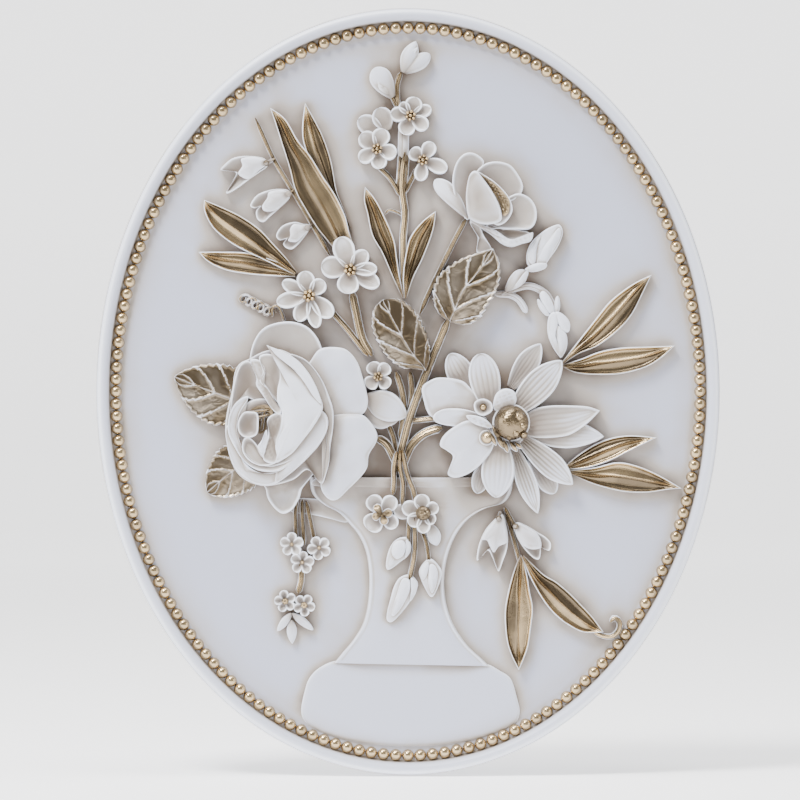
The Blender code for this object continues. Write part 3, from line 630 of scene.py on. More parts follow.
# %% Front petal and the folds at the rose's middle
rose += [
    plate("rose_front", (
        (268, 346, 18.6), (268, 346, 18.6), (280, 351, 19.0), (294, 358, 19.4), (305, 368, 19.8),
        (313, 381, 20.2), (320, 396, 20.6), (323, 409, 20.8), (315, 425, 20.6), (303, 441, 20.2),
        (293, 453, 19.6), (283, 460, 19.2), (276, 463, 18.8), (277, 455, 19.6), (276, 445, 20.4),
        (280, 434, 21.0), (281.5, 424, 21.4), (282, 412, 21.6), (278, 402, 21.6), (278, 390, 21.4),
        (280.5, 377, 21.0), (279, 365, 20.2), (273, 355, 19.4),
    ), 23.3, swell=2.2, roll=1.0, roll_width=1.6, lip=0.6, middle=(300, 407), white=0.6, wave=0.35),
    plate("rose_front_fold", (
        (271, 348, 21.0), (283, 352, 21.6), (297, 360, 22.0), (308, 372, 22.2), (317, 388, 22.2),
        (322, 404, 22.0), (314, 397, 22.2), (304, 382, 22.2), (292, 368, 21.8), (279, 358, 21.2),
    ), 23.0, swell=2.0, roll=0.6, roll_width=0.8, lip=0.3, middle=(303, 376), white=0.6, spacing=1.3),
    plate("rose_fold_behind", (
        (260, 357, 18.8), (272, 355, 19.4), (280, 364, 20.0), (283, 378, 20.4), (281, 392, 20.6),
        (280, 404, 20.6), (269, 392, 19.6), (260, 382, 19.2), (263, 372, 19.0),
    ), 19.0, swell=2.0, roll=0.5, roll_width=0.9, lip=0.7, middle=(272, 376), deep=0.3),
    plate("rose_fold_front", (
        (251, 360, 17.6), (260, 361, 18.2), (266, 370, 18.8), (263, 380, 19.2), (270, 391, 20.2),
        (276, 402, 21.0), (282, 410, 21.6), (280, 415, 21.4), (273, 410, 20.6), (265, 398, 19.6),
        (257, 386, 18.8), (257, 378, 18.4), (253, 368, 17.8),
    ), 19.9, swell=2.0, roll=0.6, roll_width=1.0, lip=0.7, middle=(265, 387), crumple=0.2, deep=0.2),
    plate("rose_oval", (
        (252, 412, 18.6), (244, 413, 18.4), (238.5, 423, 18.2), (240, 433, 18.2), (247, 438, 18.4),
        (257, 435, 19.0), (259, 424, 19.6), (258, 414, 19.2),
    ), 16.6, swell=2.4, roll=0.3, roll_width=0.9, lip=0.8, middle=(249, 424), deep=0.5),
    plate("rose_ruffle_wide", (
        (268, 420, 19.6), (275, 414, 20.4), (282, 414.5, 21.0), (282, 424, 21.0), (280, 434, 20.6),
        (277, 445, 20.2), (278, 455, 19.6), (275, 464, 18.8), (264, 460, 18.2), (266, 448, 18.6),
        (269, 432, 19.2),
    ), 18.8, swell=2.0, roll=0.4, roll_width=0.9, lip=0.8, middle=(273, 438), deep=0.3, crumple=0.15),
    plate("rose_ruffle_thin", (
        (258, 447, 18.8), (262, 441, 19.4), (267, 430, 19.8), (268, 442, 19.2), (264, 457, 18.4),
        (261, 452, 18.4),
    ), 19.2, swell=2.0, roll=0.4, roll_width=0.8, lip=0.3, middle=(263, 446), spacing=1.2),
    plate("rose_inner_low", (
        (244, 440, 18.0), (250, 438, 18.2), (258, 446, 18.0), (264, 458, 18.2), (274, 464, 18.6),
        (262, 466, 18.4), (250, 461, 18.2), (243, 451, 18.0),
    ), 16.2, swell=2.2, roll=0.4, roll_width=0.9, lip=0.8, middle=(255, 453), deep=0.35),
    plate("rose_well", circle(262, 426, 27, 16.0, 16), 16.2, lip=0.0, roll=0.3, deep=0.4),
    plate("rose_gold_middle", (
        (251, 411, 17.2), (264, 405, 18.2), (272, 409, 18.8), (273, 416, 18.8), (268, 421, 18.2),
        (266, 430, 17.6), (260, 434, 17.2), (258, 424, 17.0),
    ), 15.8, swell=1.5, roll=0.3, lip=0.0, gold=1.0, middle=(264, 416), spacing=1.2, crumple=0.5, deep=0.7),
]
STAMENS = (((250, 413), (271, 410)), ((256, 418), (271, 415)), ((262, 431), (265, 412)))
for i, path in enumerate(STAMENS):
    rose.append(stalk(f"rose_stamen_{i}", path, 3.2, 16.8, 18.4, groove=0.3))
pieces["rose"] = join("rose", rose)

# %% [markdown]
# ## The daisy
# The open flower at the right has long petals round a gold knob. Most are petals from the helper above,
# laid over their neighbours by height, with a lined face and a fine raised rim. The ones with broad,
# notched or curled ends don't follow a rule, so their outlines are drawn.

# %% Daisy petals
DAISY_PETALS = (
    ("behind_left", (476, 402), (450, 354), 27, 5.0, 5.2, 0.4, 0.6, 0.5, 0.4),
    ("behind_right", (511, 388), (541, 344), 23, 6.0, 6.6, -1.6, 0.55, 0.7, 0.3),
    ("behind_low_left", (486, 460), (477, 494), 18, 5.0, 4.6, 0.5, 0.6, 0.5, 0.3),
    ("behind_low_right", (529, 452), (555, 494), 20, 5.0, 4.6, -1.2, 0.7, 0.5, 0.3),
    ("right_low", (520, 430), (604, 437), 30, 7.6, 6.4, 1.0, 0.5, 0.8, 0.2),
    ("top_right", (512, 414), (562, 361), 30, 10.6, 9.2, -0.4, 0.55, 0.7, 0.4),
    ("low_slim", (514, 448), (538, 514), 20, 8.2, 6.4, -0.5, 0.55, 0.75, 0.55),
    ("low_right", (518, 436), (573, 485), 25, 9.4, 7.4, -0.5, 0.6, 0.75, 0.5),
    ("low", (500, 440), (496, 498), 33, 11.4, 10.2, 1.0, 0.55, 0.55, 0.2),
    ("top", (491, 412), (480, 354), 31, 11.2, 10.2, 1.0, 0.6, 0.45, 0.25),
)
DAISY_SHAPE = dict(roll=0.5, roll_width=0.8, lip=0.65, columns=34, rows=26, deep=0.5)
RIGHT_UP_TOP = ((522, 417), (535, 409), (552, 406), (572, 406), (588, 407), (600, 411))
RIGHT_UP_BELOW = ((522, 434), (535, 438), (552, 438), (570, 435), (587, 424), (600, 411))
daisy = [plate("daisy_base", circle(502, 424, 27, 9.4, 16), 11.6, lip=0.0, deep=0.35)]
for name, base, tip, width, low, high, dome, widest, blunt, lines in DAISY_PETALS:
    daisy.append(petal("daisy_" + name, base, tip, width, low, high, dome=dome, widest=widest, blunt=blunt,
                       neck=0.38, lines=0.55 * lines, **DAISY_SHAPE))
daisy.append(petal("daisy_right_up", None, None, None, 9.6, 8.6, dome=-1.2, lines=0.1,
                   sides=(RIGHT_UP_TOP, RIGHT_UP_BELOW), **DAISY_SHAPE))
daisy += [
    plate("daisy_left_broad", (
        (484, 408, 9.4), (468, 386, 9.6), (458, 380, 9.6), (440, 378, 9.4), (430, 381, 9.2), (422, 388, 8.8),
        (424, 402, 8.0), (430, 416, 7.2), (445, 420, 7.8), (474, 416, 9.0),
    ), 9.0, lip=0.6, roll=0.5, middle=(450, 396), wave=0.35),
    plate("daisy_left_slim", (
        (486, 418, 11.0), (466, 410, 11.0), (447, 409, 10.8), (436, 413, 10.4), (433, 419, 10.0),
        (439, 424, 9.8), (457, 427, 10.2), (480, 428, 10.8),
    ), 11.0, lip=0.6, roll=0.5, middle=(455, 418)),
    plate("daisy_low_left_broad", (
        (492, 432, 12.0), (482, 424, 11.8), (467, 421, 12.0), (453, 428, 12.0), (443, 437, 11.8),
        (440, 446, 11.4), (447, 451, 11.4), (453, 457, 11.4), (450, 467, 11.2), (448, 475, 10.8),
        (456, 478, 11.0), (470, 473, 11.6), (484, 461, 12.2), (493, 447, 12.4),
    ), 13.0, lip=0.6, roll=0.6, middle=(470, 447), wave=0.3),
    plate("daisy_small_petal", (
        (494, 410, 13.0), (494, 399, 13.4), (498, 392, 13.6), (506, 389, 13.6), (514, 392, 13.6),
        (516, 402, 13.4), (508, 412, 13.0),
    ), 14.8, lip=0.4, roll=0.7, spacing=1.3, crumple=0.15),
    plate("daisy_curl", (
        (474, 408, 13.6), (475, 402, 14.2), (483, 399, 14.6), (491, 403, 14.6), (492, 411, 14.4),
        (484, 416, 14.0), (477, 414, 13.6),
    ), 12.6, lip=0.7, roll=0.4, spacing=1.2, deep=0.2),
    plate("daisy_sliver", (
        (466, 416, 13.0), (476, 416, 13.8), (486, 420, 14.2), (492, 428, 14.0), (482, 427, 13.6),
        (472, 423, 13.2),
    ), 14.4, lip=0.4, roll=0.4, spacing=1.2, crumple=0.2),
]

# %% Knob, bead and crumbs at the daisy's middle
ROUND_GOLD = dict(ball=True, roll=0.0, gold=1.0)
KNOB_LUMPS = (
    (518, 417, 7.0, 21.4), (522, 426, 6.0, 20.6), (515, 433, 5.5, 20.6), (523, 435, 4.5, 19.0),
    (509, 437, 4.0, 18.8),
)
GOLD_CRUMBS = (
    ((492, 426), (500, 440), 7), ((496, 434), (504, 449), 7), ((503, 440), (508, 453), 6),
    ((509, 441), (517, 452), 6), ((488, 430), (496, 446), 6), ((514, 442), (522, 449), 5),
)
daisy.append(plate("daisy_collar", circle(511, 423, 18.7, 13.2, 18), 15.0, lip=0.1, roll=0.6, deep=0.5))
daisy.append(plate("daisy_knob", circle(511, 423, 17.4, 14.2, 18), 21.6, spacing=1.0, deep=0.4, **ROUND_GOLD))
for i, (across, down, radius, height) in enumerate(KNOB_LUMPS):
    lump = circle(across, down, radius, 15.0, 9)
    daisy.append(plate(f"daisy_knob_lump_{i}", lump, height + 0.5, spacing=1.0, crumple=0.5, deep=0.1,
                       **ROUND_GOLD))
bead_ring = circle(486.5, 438, 7.8, 12.8, 14)
daisy.append(plate("daisy_bead_ring", bead_ring, 12.6, lip=0.4, roll=0.3, spacing=1.2, deep=0.4))
daisy.append(plate("daisy_bead", circle(487, 438, 6.2, 13.2), 16.2, spacing=1.2, **ROUND_GOLD))
daisy.append(plate("daisy_dot", circle(483, 407.5, 3.6, 12.8, 8), 14.6, spacing=1.0, **ROUND_GOLD))
for i, (base, tip, width) in enumerate(GOLD_CRUMBS):
    daisy.append(petal(f"daisy_gold_bit_{i}", base, tip, width, 13.6, 14.2, dome=1.6, lip=0.2, gold=0.95,
                       blunt=0.6, columns=8, rows=8, crumple=0.3))
pieces["daisy"] = join("daisy", daisy)

# %% [markdown]
# ## The peony
# The half-open flower at the upper right is a cup with petals behind it. A slit of gold shows between the
# cup's near and far walls, so the cup is two plates with a sunk gold one between them.

# %% Peony
peony = [
    plate("peony_left", (
        (467, 220, 7.4), (458, 205, 8.8), (453, 190, 9.4), (453, 175, 9.8), (457, 162, 9.8), (465, 154, 9.6),
        (475, 154, 9.2), (484, 162, 8.6), (478, 172, 7.6), (472, 190, 7.0), (472, 208, 7.0),
    ), 5.6, swell=1.5, lip=0.8, roll=0.4, middle=(471, 176), deep=0.12),
    plate("peony_top", (
        (474, 180, 8.0), (481, 167, 9.0), (494, 162, 9.4), (509, 165, 9.6), (518, 175, 9.6), (523, 187, 9.4),
        (519, 196, 9.0), (508, 202, 8.4), (490, 196, 7.8),
    ), 6.8, swell=2.0, lip=0.8, roll=0.4, middle=(498, 182), deep=0.15),
    plate("peony_right", (
        (486, 228, 9.0), (498, 208, 9.0), (508, 198, 9.4), (519, 194, 10.0), (530, 199, 10.4),
        (536, 209, 10.6), (536, 221, 10.4), (530, 229, 10.0), (516, 230, 9.8), (500, 229, 9.4),
    ), 7.6, swell=1.9, lip=0.8, roll=0.4, middle=(512, 214), deep=0.15),
    plate("peony_sepal", (
        (470, 222, 6.6), (478, 224, 6.8), (484, 236, 6.6), (492, 250, 6.2), (485, 254, 5.6), (477, 252, 5.4),
        (478, 238, 6.0), (474, 230, 6.4),
    ), 5.0, swell=1.6, lip=0.6, roll=0.3, spacing=1.3),
    petal("peony_bud_petal", (468, 219), (435, 180), 17, 7.4, 7.8, dome=2.4, widest=0.72, blunt=0.5, neck=0.12,
          bow=-2, lip=0.2, columns=14, rows=22, white=0.6),
    plate("peony_curled_inside", (
        (470, 220, 8.6), (485, 224, 9.2), (503, 229, 9.6), (520, 231, 9.8), (530, 234, 9.6), (520, 240, 9.0),
        (505, 239, 8.6), (490, 232, 8.4),
    ), 7.6, swell=1.8, lip=0.5, roll=0.3, spacing=1.3, deep=0.25),
    plate("peony_curled_lip", (
        (470, 221, 9.6), (482, 225, 10.2), (496, 231, 10.8), (508, 239, 11.2), (518, 240, 11.4),
        (528, 235, 11.4), (533, 233, 11.2), (531, 241, 10.8), (522, 244, 10.6), (512, 247, 10.4),
        (502, 244, 10.2), (490, 234, 9.8),
    ), 11.8, lip=0.3, roll=0.9, middle=(508, 242), spacing=1.3, white=0.5, crumple=0.15),
    plate("peony_cup_far", (
        (476, 173, 13.4), (486, 177, 13.9), (496, 184, 14.3), (505, 193, 14.3), (511, 203, 14.1),
        (512, 213, 13.6), (505, 223, 12.6), (495, 225, 12.0), (485, 210, 12.0), (476, 190, 12.6),
    ), 13.4, lip=0.6, roll=0.5, middle=(496, 205), deep=0.1),
    plate("peony_gold", (
        (478, 174, 14.6), (487, 180, 15.0), (496, 186, 15.2), (503, 193, 15.2), (509, 202, 15.0),
        (508, 213, 14.6), (503, 216, 14.2), (499, 203, 14.4), (492, 192, 14.4), (484, 183, 14.6),
    ), 13.9, swell=1.5, lip=0.2, roll=0.3, gold=1.0, middle=(498, 196), spacing=1.0, crumple=0.5, deep=0.25),
    plate("peony_cup_near", (
        (468, 216, 12.0), (466, 200, 12.2), (467, 186, 12.8), (470, 175, 13.6), (476, 172, 14.8),
        (484, 181, 15.4), (491, 191, 15.8), (497, 202, 16.0), (501, 213, 15.8), (500, 222, 14.2),
        (486, 225, 13.0), (474, 222, 12.2),
    ), 15.4, lip=0.6, roll=0.8, middle=(478, 208), wave=0.5, deep=0.25),
]
pieces["peony"] = join("peony", peony)

# %% [markdown]
# ## The long gold leaves
# Each long leaf has two sunk troughs beside a raised midrib, a thin ivory edge and a pointed tip. No two
# bend alike, so both sides of each are drawn, and the petal helper stretches a face between them. Gutters
# sink the troughs, the rib raises the middle, and the gold mask starts a little inside the edge, so the
# edge keeps the ivory paint.

# %% Long leaves in pairs
DRAWN_LEAVES = (
    ("left_tall_behind", 4.8, 5.2, 1, (
        (342, 216), (334, 198), (322, 180), (310, 160), (304, 145), (302, 132), (303, 116), (305, 103)), (
        (352, 232), (346, 215), (341, 203), (336, 189), (331, 161), (323, 137), (314, 119), (305, 103))),
    ("left_tall_front", 6.0, 6.2, -1, (
        (336, 252), (329, 243), (317, 228), (305, 209), (295, 190), (289, 167), (282, 145), (276, 126),
        (270, 108)), (
        (354, 246), (349, 232), (345, 216), (335, 195), (323, 177), (310, 156), (298, 141), (285, 119),
        (270, 108))),
    ("left_low_front", 5.4, 4.6, 1, (
        (294, 275), (268, 262), (241, 249), (225, 239), (212, 227), (204, 211), (204, 200)), (
        (297, 272), (286, 258), (275, 246), (259, 229), (240, 216), (221, 207), (204, 200))),
    ("left_low_side", 4.4, 4.0, 0, (
        (295, 277), (272, 276), (247, 274), (225, 270), (208, 262), (198, 252)), (
        (295, 273), (284, 265), (272, 260), (247, 253), (221, 252), (198, 252))),
    ("middle_left", 4.8, 5.0, -1, (
        (402, 298), (392, 276), (382, 253), (372, 235), (367, 213), (364, 200), (365, 187)), (
        (404, 298), (400, 278), (397, 259), (394, 240), (385, 218), (375, 199), (365, 187))),
    ("middle_right", 5.2, 4.8, 1, (
        (404, 298), (403, 278), (405, 259), (410, 238), (422, 222), (436, 211)), (
        (407, 298), (413, 279), (422, 260), (429, 243), (434, 227), (436, 211))),
    ("right_top", 5.2, 4.2, 1, (
        (561, 364), (579, 341), (597, 318), (610, 302), (626, 289), (639, 281), (652, 275)), (
        (563, 365), (579, 354), (598, 346), (619, 330), (632, 315), (641, 298), (652, 275))),
    ("right_top_low", 4.6, 4.2, 1, (
        (563, 365), (582, 359), (600, 352), (622, 348), (650, 347), (675, 346)), (
        (563, 367), (576, 373), (596, 375), (622, 374), (647, 367), (663, 357), (675, 346))),
    ("right_bottom_up", 5.2, 4.2, -1, (
        (565, 467), (582, 453), (604, 441), (628, 436), (657, 438)), (
        (567, 470), (588, 468), (610, 461), (632, 450), (657, 438))),
    ("right_bottom_low", 4.6, 4.2, 1, (
        (570, 471), (595, 468), (617, 463), (636, 466), (658, 475), (682, 489)), (
        (572, 475), (595, 485), (623, 492), (647, 493), (669, 490), (682, 489))),
    ("hanging_left", 5.0, 4.6, 1, (
        (522, 556), (527, 575), (530, 593), (533, 609), (531, 629), (528, 648), (523, 662), (519, 671)), (
        (520, 556), (513, 575), (507, 599), (505, 617), (507, 641), (512, 657), (519, 671))),
    ("hanging_right", 5.2, 4.4, -1, (
        (524, 556), (535, 567), (545, 576), (557, 583), (569, 593), (581, 605), (593, 618), (604, 633)), (
        (522, 558), (530, 577), (538, 592), (547, 606), (557, 617), (569, 626), (584, 633), (604, 633))),
)
LEAF_SHAPE = dict(dome=0.4, rib=0.8, gutters=1.1, lines=0.03, line_count=2, roll=0.25, roll_width=0.4,
                  lip=0.8, gold=1.0, columns=34, rows=44, deep=0.0, white=0.5)
leaves = []
for name, low, high, shaded_half, first_side, second_side in DRAWN_LEAVES:
    leaves.append(petal("leaf_" + name, None, None, None, low, high, shaded_half=shaded_half,
                        sides=(first_side, second_side), **LEAF_SHAPE))
LEAF_CURL = ((594, 633), (604, 637), (613, 637), (619, 631), (620, 623), (615, 619), (611, 623))
leaves.append(stalk("leaf_curl", LEAF_CURL, 5.0, 2.2, 4.8, gold=0.8, groove=0.2, taper=1.3))
pieces["long_leaves"] = join("long_leaves", leaves)

# %% [markdown]
# ## The veined leaves
# The broad leaves have raised veins, an edge with small teeth, and crinkled gold between the veins. The veins
# are part of the shape: a wave along the leaf that slants towards the tip lifts the points into ridges.

# %% Broad veined leaves
VEIN_COUNT = 4
VEINED_LEAVES = (
    ("middle", None, None, None, 8.6, 9.2, 1.6, None, None, None, 1),
    ("right", None, None, None, 8.6, 9.2, 1.6, None, None, None, 0),
    ("rose_up", (256, 408), (174, 377), 61, 4.4, 4.0, 0.9, 0.42, 0.72, 1.0, 0),
    ("rose_low", (260, 454), (207, 493), 51, 4.4, 4.0, 0.9, 0.42, 0.6, -2.0, 0),
)
DRAWN_SIDES = {
    "middle": (
        ((426, 371), (414, 369), (402, 368), (389, 359), (378, 343), (372, 326), (374, 309), (383, 300)),
        ((426, 371), (430, 357), (429, 343), (424, 328), (416, 313), (406, 303), (395, 299), (383, 300)),
    ),
    "right": (
        ((450, 322), (441, 316), (435, 306), (433, 292), (438, 277), (450, 266), (466, 257), (493, 249)),
        ((450, 322), (465, 325), (479, 319), (488, 305), (496, 292), (500, 277), (499, 262), (493, 249)),
    ),
}
veined = []
for name, base, tip, width, low, high, dome, widest, blunt, bow, shaded_half in VEINED_LEAVES:
    veined.append(petal("veined_" + name, base, tip, width, low, high, dome=dome, widest=widest, blunt=blunt,
                        neck=0.22, bow=bow, roll=0.4, roll_width=0.6, lip=0.7, gold=0.97, veins=VEIN_COUNT,
                        teeth=0.09, shaded_half=shaded_half, deep=0.1, columns=60, rows=90, white=0.4,
                        sides=DRAWN_SIDES.get(name)))
pieces["veined_leaves"] = join("veined_leaves", veined)

# %% [markdown]
# ## The stalks
# The stalks run together at the vase's mouth and hang over its lip. Each is a half-round bar with a groove,
# in gold, with the ivory left along its edges. Paths are drawn through a few points and smoothed.

# %% Stalks and tendrils
STALKS = (
    ("main", ((468, 216), (457, 236), (443, 264), (430, 291), (420, 314)), 5.2, 3.0, 6.4),
    ("main_low", ((450, 316), (440, 340), (430, 364), (420, 390), (410, 418), (401, 452), (397, 472)),
     8.4, 4.2, 8.4),
    ("top", ((405, 152), (402, 186), (405, 213), (403, 243), (404, 296)), 7.4, 2.4, 5.0),
    ("top_broad", ((404, 152), (401, 196)), 12.0, 2.0, 4.2),
    ("top_left", ((378, 166), (390, 178), (400, 194)), 5.0, 2.0, 4.2),
    ("top_right", ((417, 168), (410, 182), (405, 192)), 5.0, 2.0, 4.2),
    ("top_middle", ((404, 122), (403, 158)), 11.0, 2.0, 4.4),
    ("round_bud", ((391, 94), (397, 106), (402, 116)), 5.0, 2.0, 4.2),
    ("split_bud", ((401, 72), (397, 86), (398, 104), (400, 114)), 5.5, 2.4, 4.6),
    ("bells", ((255, 118), (273, 158), (292, 190), (312, 224), (330, 256)), 4.6, 2.4, 4.6),
    ("blossom_high", ((352, 292), (356, 312), (362, 338), (372, 356)), 8.5, 3.0, 5.4),
    ("blossom_low", ((330, 310), (346, 328), (368, 356)), 6.0, 3.0, 5.0),
    ("sprout_one", ((396, 372), (402, 392), (404, 412), (400, 440)), 6.5, 2.6, 5.2),
    ("sprout_two", ((410, 372), (412, 395), (408, 420)), 6.0, 2.6, 5.0),
    ("bells_low_right", ((505, 508), (509, 516), (517, 530)), 4.6, 2.4, 5.8),
    ("bells_low_down", ((506, 514), (513, 536), (521, 566)), 4.6, 2.0, 4.6),
    ("rose", ((376, 438), (386, 444), (394, 458), (400, 472)), 8.5, 4.0, 7.4),
    ("slim", ((388, 424), (394, 440), (398, 462)), 5.5, 3.0, 5.6),
    ("daisy_low", ((442, 428), (424, 434), (410, 448), (402, 468)), 9.0, 4.0, 6.6),
    ("daisy_high", ((438, 418), (424, 420), (410, 421)), 6.0, 4.0, 6.4),
    ("over_left", ((397, 452), (394, 468), (394, 482), (393, 495)), 5.2, 6.6, 9.4),
    ("over_middle", ((400, 450), (400, 468), (403, 484), (402, 506)), 5.0, 6.6, 9.6),
    ("over_right", ((402, 450), (407, 474), (413, 490), (417, 508)), 5.4, 6.6, 9.6),
    ("bud_low", ((414, 518), (415, 540), (414, 558), (409, 582)), 5.4, 6.0, 8.8),
    ("bud_side", ((418, 524), (426, 542), (430, 568)), 4.4, 5.8, 8.0),
    ("bud_left", ((409, 520), (408, 546)), 4.6, 5.8, 8.0),
    ("sprig_left", ((297, 500), (295, 514), (296, 542)), 4.4, 1.6, 3.6),
    ("sprig_middle", ((302, 500), (302, 514), (304, 546)), 4.4, 1.6, 3.8),
    ("sprig_right", ((306, 502), (309, 516), (315, 544)), 4.4, 1.6, 3.6),
    ("sprig_low", ((301, 560), (301, 580), (298, 594)), 6.5, 1.8, 3.4),
    ("tendril_long", ((502, 295), (514, 289), (530, 286), (545, 293), (552, 304), (554, 313)), 7.0, 2.0, 4.4),
    ("tendril_short", ((495, 294), (510, 295), (520, 301), (527, 313)), 6.5, 2.0, 4.0),
)
IVORY_STALKS = ("tendril_long", "tendril_short", "top_middle")
stalks = []
for name, path, width, low, high in STALKS:
    stalks.append(stalk("stalk_" + name, path, width, low, high, gold=0.1 if name in IVORY_STALKS else 1.0))
COIL_POINTS = 45
COIL_TURNS = 5.0
COIL_RADIUS = 4.6
coil = []
for i in range(COIL_POINTS):
    share = i / (COIL_POINTS - 1)
    turn = math.tau * COIL_TURNS * share
    across = 241 + 30 * share + COIL_RADIUS * math.cos(turn)
    down = 297 + 16 * share + COIL_RADIUS * math.sin(turn)
    coil.append((across, down))
stalks.append(stalk("tendril_coil", coil, 2.6, 1.0, 2.6, gold=0.5, groove=0.0, columns=6))
stalks.append(stalk("tendril_end", ((272, 317), (272, 308), (277, 306), (281, 312), (284, 322)), 3.2, 1.0,
                    3.0, gold=0.7, groove=0.0))
stalks.append(stalk("hook", ((385, 214), (389, 210), (397, 212), (404, 216)), 3.0, 1.4, 3.2, gold=0.6,
                    groove=0.0))
pieces["stalks"] = join("stalks", stalks)

# %% [markdown]
# ## The small blossoms
# A blossom is a handful of cupped petals about a middle of gold grains. Petals are given by bearing, length
# and width. Every second one lies a little lower, so they overlap as real ones do.

# %% Small blossoms
PETAL_DISH = -1.1
GRAIN_COUNT = 6
GRAIN_SIZE = 1.9


def on_bearing(centre, bearing, reach):
    """The point at a distance from the centre, on a bearing in degrees from the right, anticlockwise."""
    turn = math.radians(bearing)
    return (centre[0] + reach * math.cos(turn), centre[1] - reach * math.sin(turn))


def blossom(name, centre, petals, height, grain_reach, grain_size):
    """Cupped petals (bearing in degrees, length and width in squares) round a cluster of grains."""
    forms = []
    for i, (bearing, length, width) in enumerate(petals):
        base = on_bearing(centre, bearing, 1.5)
        tip = on_bearing(centre, bearing, length)
        low = height - 1.4 - 0.5 * (i % 2)
        high = height - 0.35 * (i % 2)
        forms.append(petal(f"{name}_petal_{i}", base, tip, width, low, high, dome=PETAL_DISH, widest=0.62,
                           blunt=0.42, neck=0.3, roll=0.2, roll_width=0.5, lip=0.5, columns=14, rows=14,
                           white=0.85, deep=0.5))
    for i in range(GRAIN_COUNT if grain_reach else 0):
        grain = circle(*on_bearing(centre, 60 * i + 17, grain_reach), grain_size, height - 1.2, 6)
        forms.append(plate(f"{name}_grain_{i}", grain, height + 0.5, spacing=1.6, **ROUND_GOLD))
    button = circle(*centre, max(grain_size, 0.6 * grain_reach), height - 1.2, 8)
    forms.append(plate(f"{name}_button", button, height + 0.3, spacing=1.1, crumple=0.25, deep=0.2,
                       **ROUND_GOLD))
    return forms


BLOSSOMS = (
    ("left_low", (309, 296), 8.6, ((102, 25, 18), (152, 30, 14), (192, 33, 16), (245, 28, 16), (284, 33, 14),
                                   (319, 31, 18), (45, 21, 16)), 4.5),
    ("left_high", (350, 270), 8.8, ((107, 34, 22), (48, 25, 16), (2, 27, 14), (331, 33, 17), (262, 24, 22),
                                    (172, 29, 22)), 4.5),
    ("top", (410.6, 115.6), 6.8, ((74, 19, 17), (20, 22, 13), (323, 21, 15), (252, 20, 17), (174, 20, 15),
                                  (127, 16, 11)), 4.0),
    ("top_left", (377, 149), 6.8, ((72, 21, 18), (137, 22, 18), (212, 21, 15), (279, 20, 16),
                                  (346, 20, 16)), 4.0),
    ("top_right", (423, 160), 6.8, ((62, 20, 15), (140, 16, 15), (262, 21, 14), (338, 26, 15)), 4.0),
    ("vase_left", (381.6, 514), 9.8, ((52, 21, 16), (124, 21, 17), (228, 21, 21), (318, 20, 15)), 0),
    ("by_rose", (378, 377), 7.8, ((50, 16, 14), (117, 16, 15), (222, 15, 15), (318, 15, 14)), 3.4),
    ("sprig_1", (291.6, 545), 5.6, ((18, 12, 10), (90, 12, 10), (162, 12, 10), (234, 12, 10),
                                   (306, 12, 10)), 0),
    ("sprig_2", (319, 548.6), 5.8, ((45, 12, 10), (117, 12, 10), (189, 12, 10), (261, 12, 10),
                                   (333, 12, 10)), 0),
    ("sprig_3", (302, 563), 5.4, ((10, 12, 10), (82, 11, 9), (154, 12, 10), (226, 12, 10), (306, 12, 10)), 0),
    ("sprig_4", (285, 602), 5.2, ((30, 11, 9), (102, 11, 9), (174, 11, 9), (246, 11, 9), (318, 11, 9)), 1.6),
    ("sprig_5", (304, 606), 5.2, ((58, 11, 9), (130, 11, 9), (202, 11, 9), (274, 11, 9), (346, 11, 9)), 1.6),
)
LARGE_GRAINS = {"vase_left": 3.6, "left_low": 2.4, "left_high": 2.4}
blossoms = []
for name, centre, height, petals, grain_reach in BLOSSOMS:
    grain_size = LARGE_GRAINS.get(name, GRAIN_SIZE)
    blossoms += blossom("blossom_" + name, centre, petals, height, grain_reach, grain_size)
VASE_RIGHT_PETALS = ((96, 19, 16), (160, 22, 16), (28, 17, 13), (218, 18, 15), (272, 20, 14), (322, 15, 12))
blossoms += blossom("blossom_vase_right", (423, 513.6), VASE_RIGHT_PETALS, 10.6, 0, 7.2)
knob = circle(424, 513.6, 6.9, 10.0, 14)
blossoms.append(plate("vase_right_knob", knob, 12.4, spacing=0.8, crumple=0.8, deep=0.7, **ROUND_GOLD))
LEFT_MIDDLE = (381.6, 514.5)
for i, (bearing, length) in enumerate(((125, 11.5), (10, 11), (290, 11), (200, 10))):
    tip = on_bearing(LEFT_MIDDLE, bearing, length)
    blossoms.append(petal(f"vase_left_gold_{i}", LEFT_MIDDLE, tip, 9, 10.6, 10.4, dome=1.2, widest=0.65,
                          blunt=0.4, lip=0.2, gold=1.0, columns=12, rows=12, crumple=0.4, deep=0.9))
PETALS_BEHIND = (
    ("behind_far", (382, 132), (358, 119), 20, 4.6), ("behind_near", (388, 130), (378, 108), 21, 4.9),
    ("vase_behind", (412, 516), (394, 509), 15, 8.2),
)
for name, base, tip, width, height in PETALS_BEHIND:
    blossoms.append(petal("blossom_" + name, base, tip, width, height, height, dome=PETAL_DISH, widest=0.55,
                          blunt=0.42, lip=0.6, columns=12, rows=14, white=0.25, deep=0.4))
pieces["blossoms"] = join("blossoms", blossoms)

# %% [markdown]
# ## Buds, loose petals and bells
# Small closed buds are plump petals. The larger ones show how their petals fold, so each fold is a drawn
# plate of its own. A bell is two plates: a sunk one with the whole outline, which shows inside the mouth,
# and a rounded one over it that leaves the mouth free. A small ball and a short stalk close its other end.

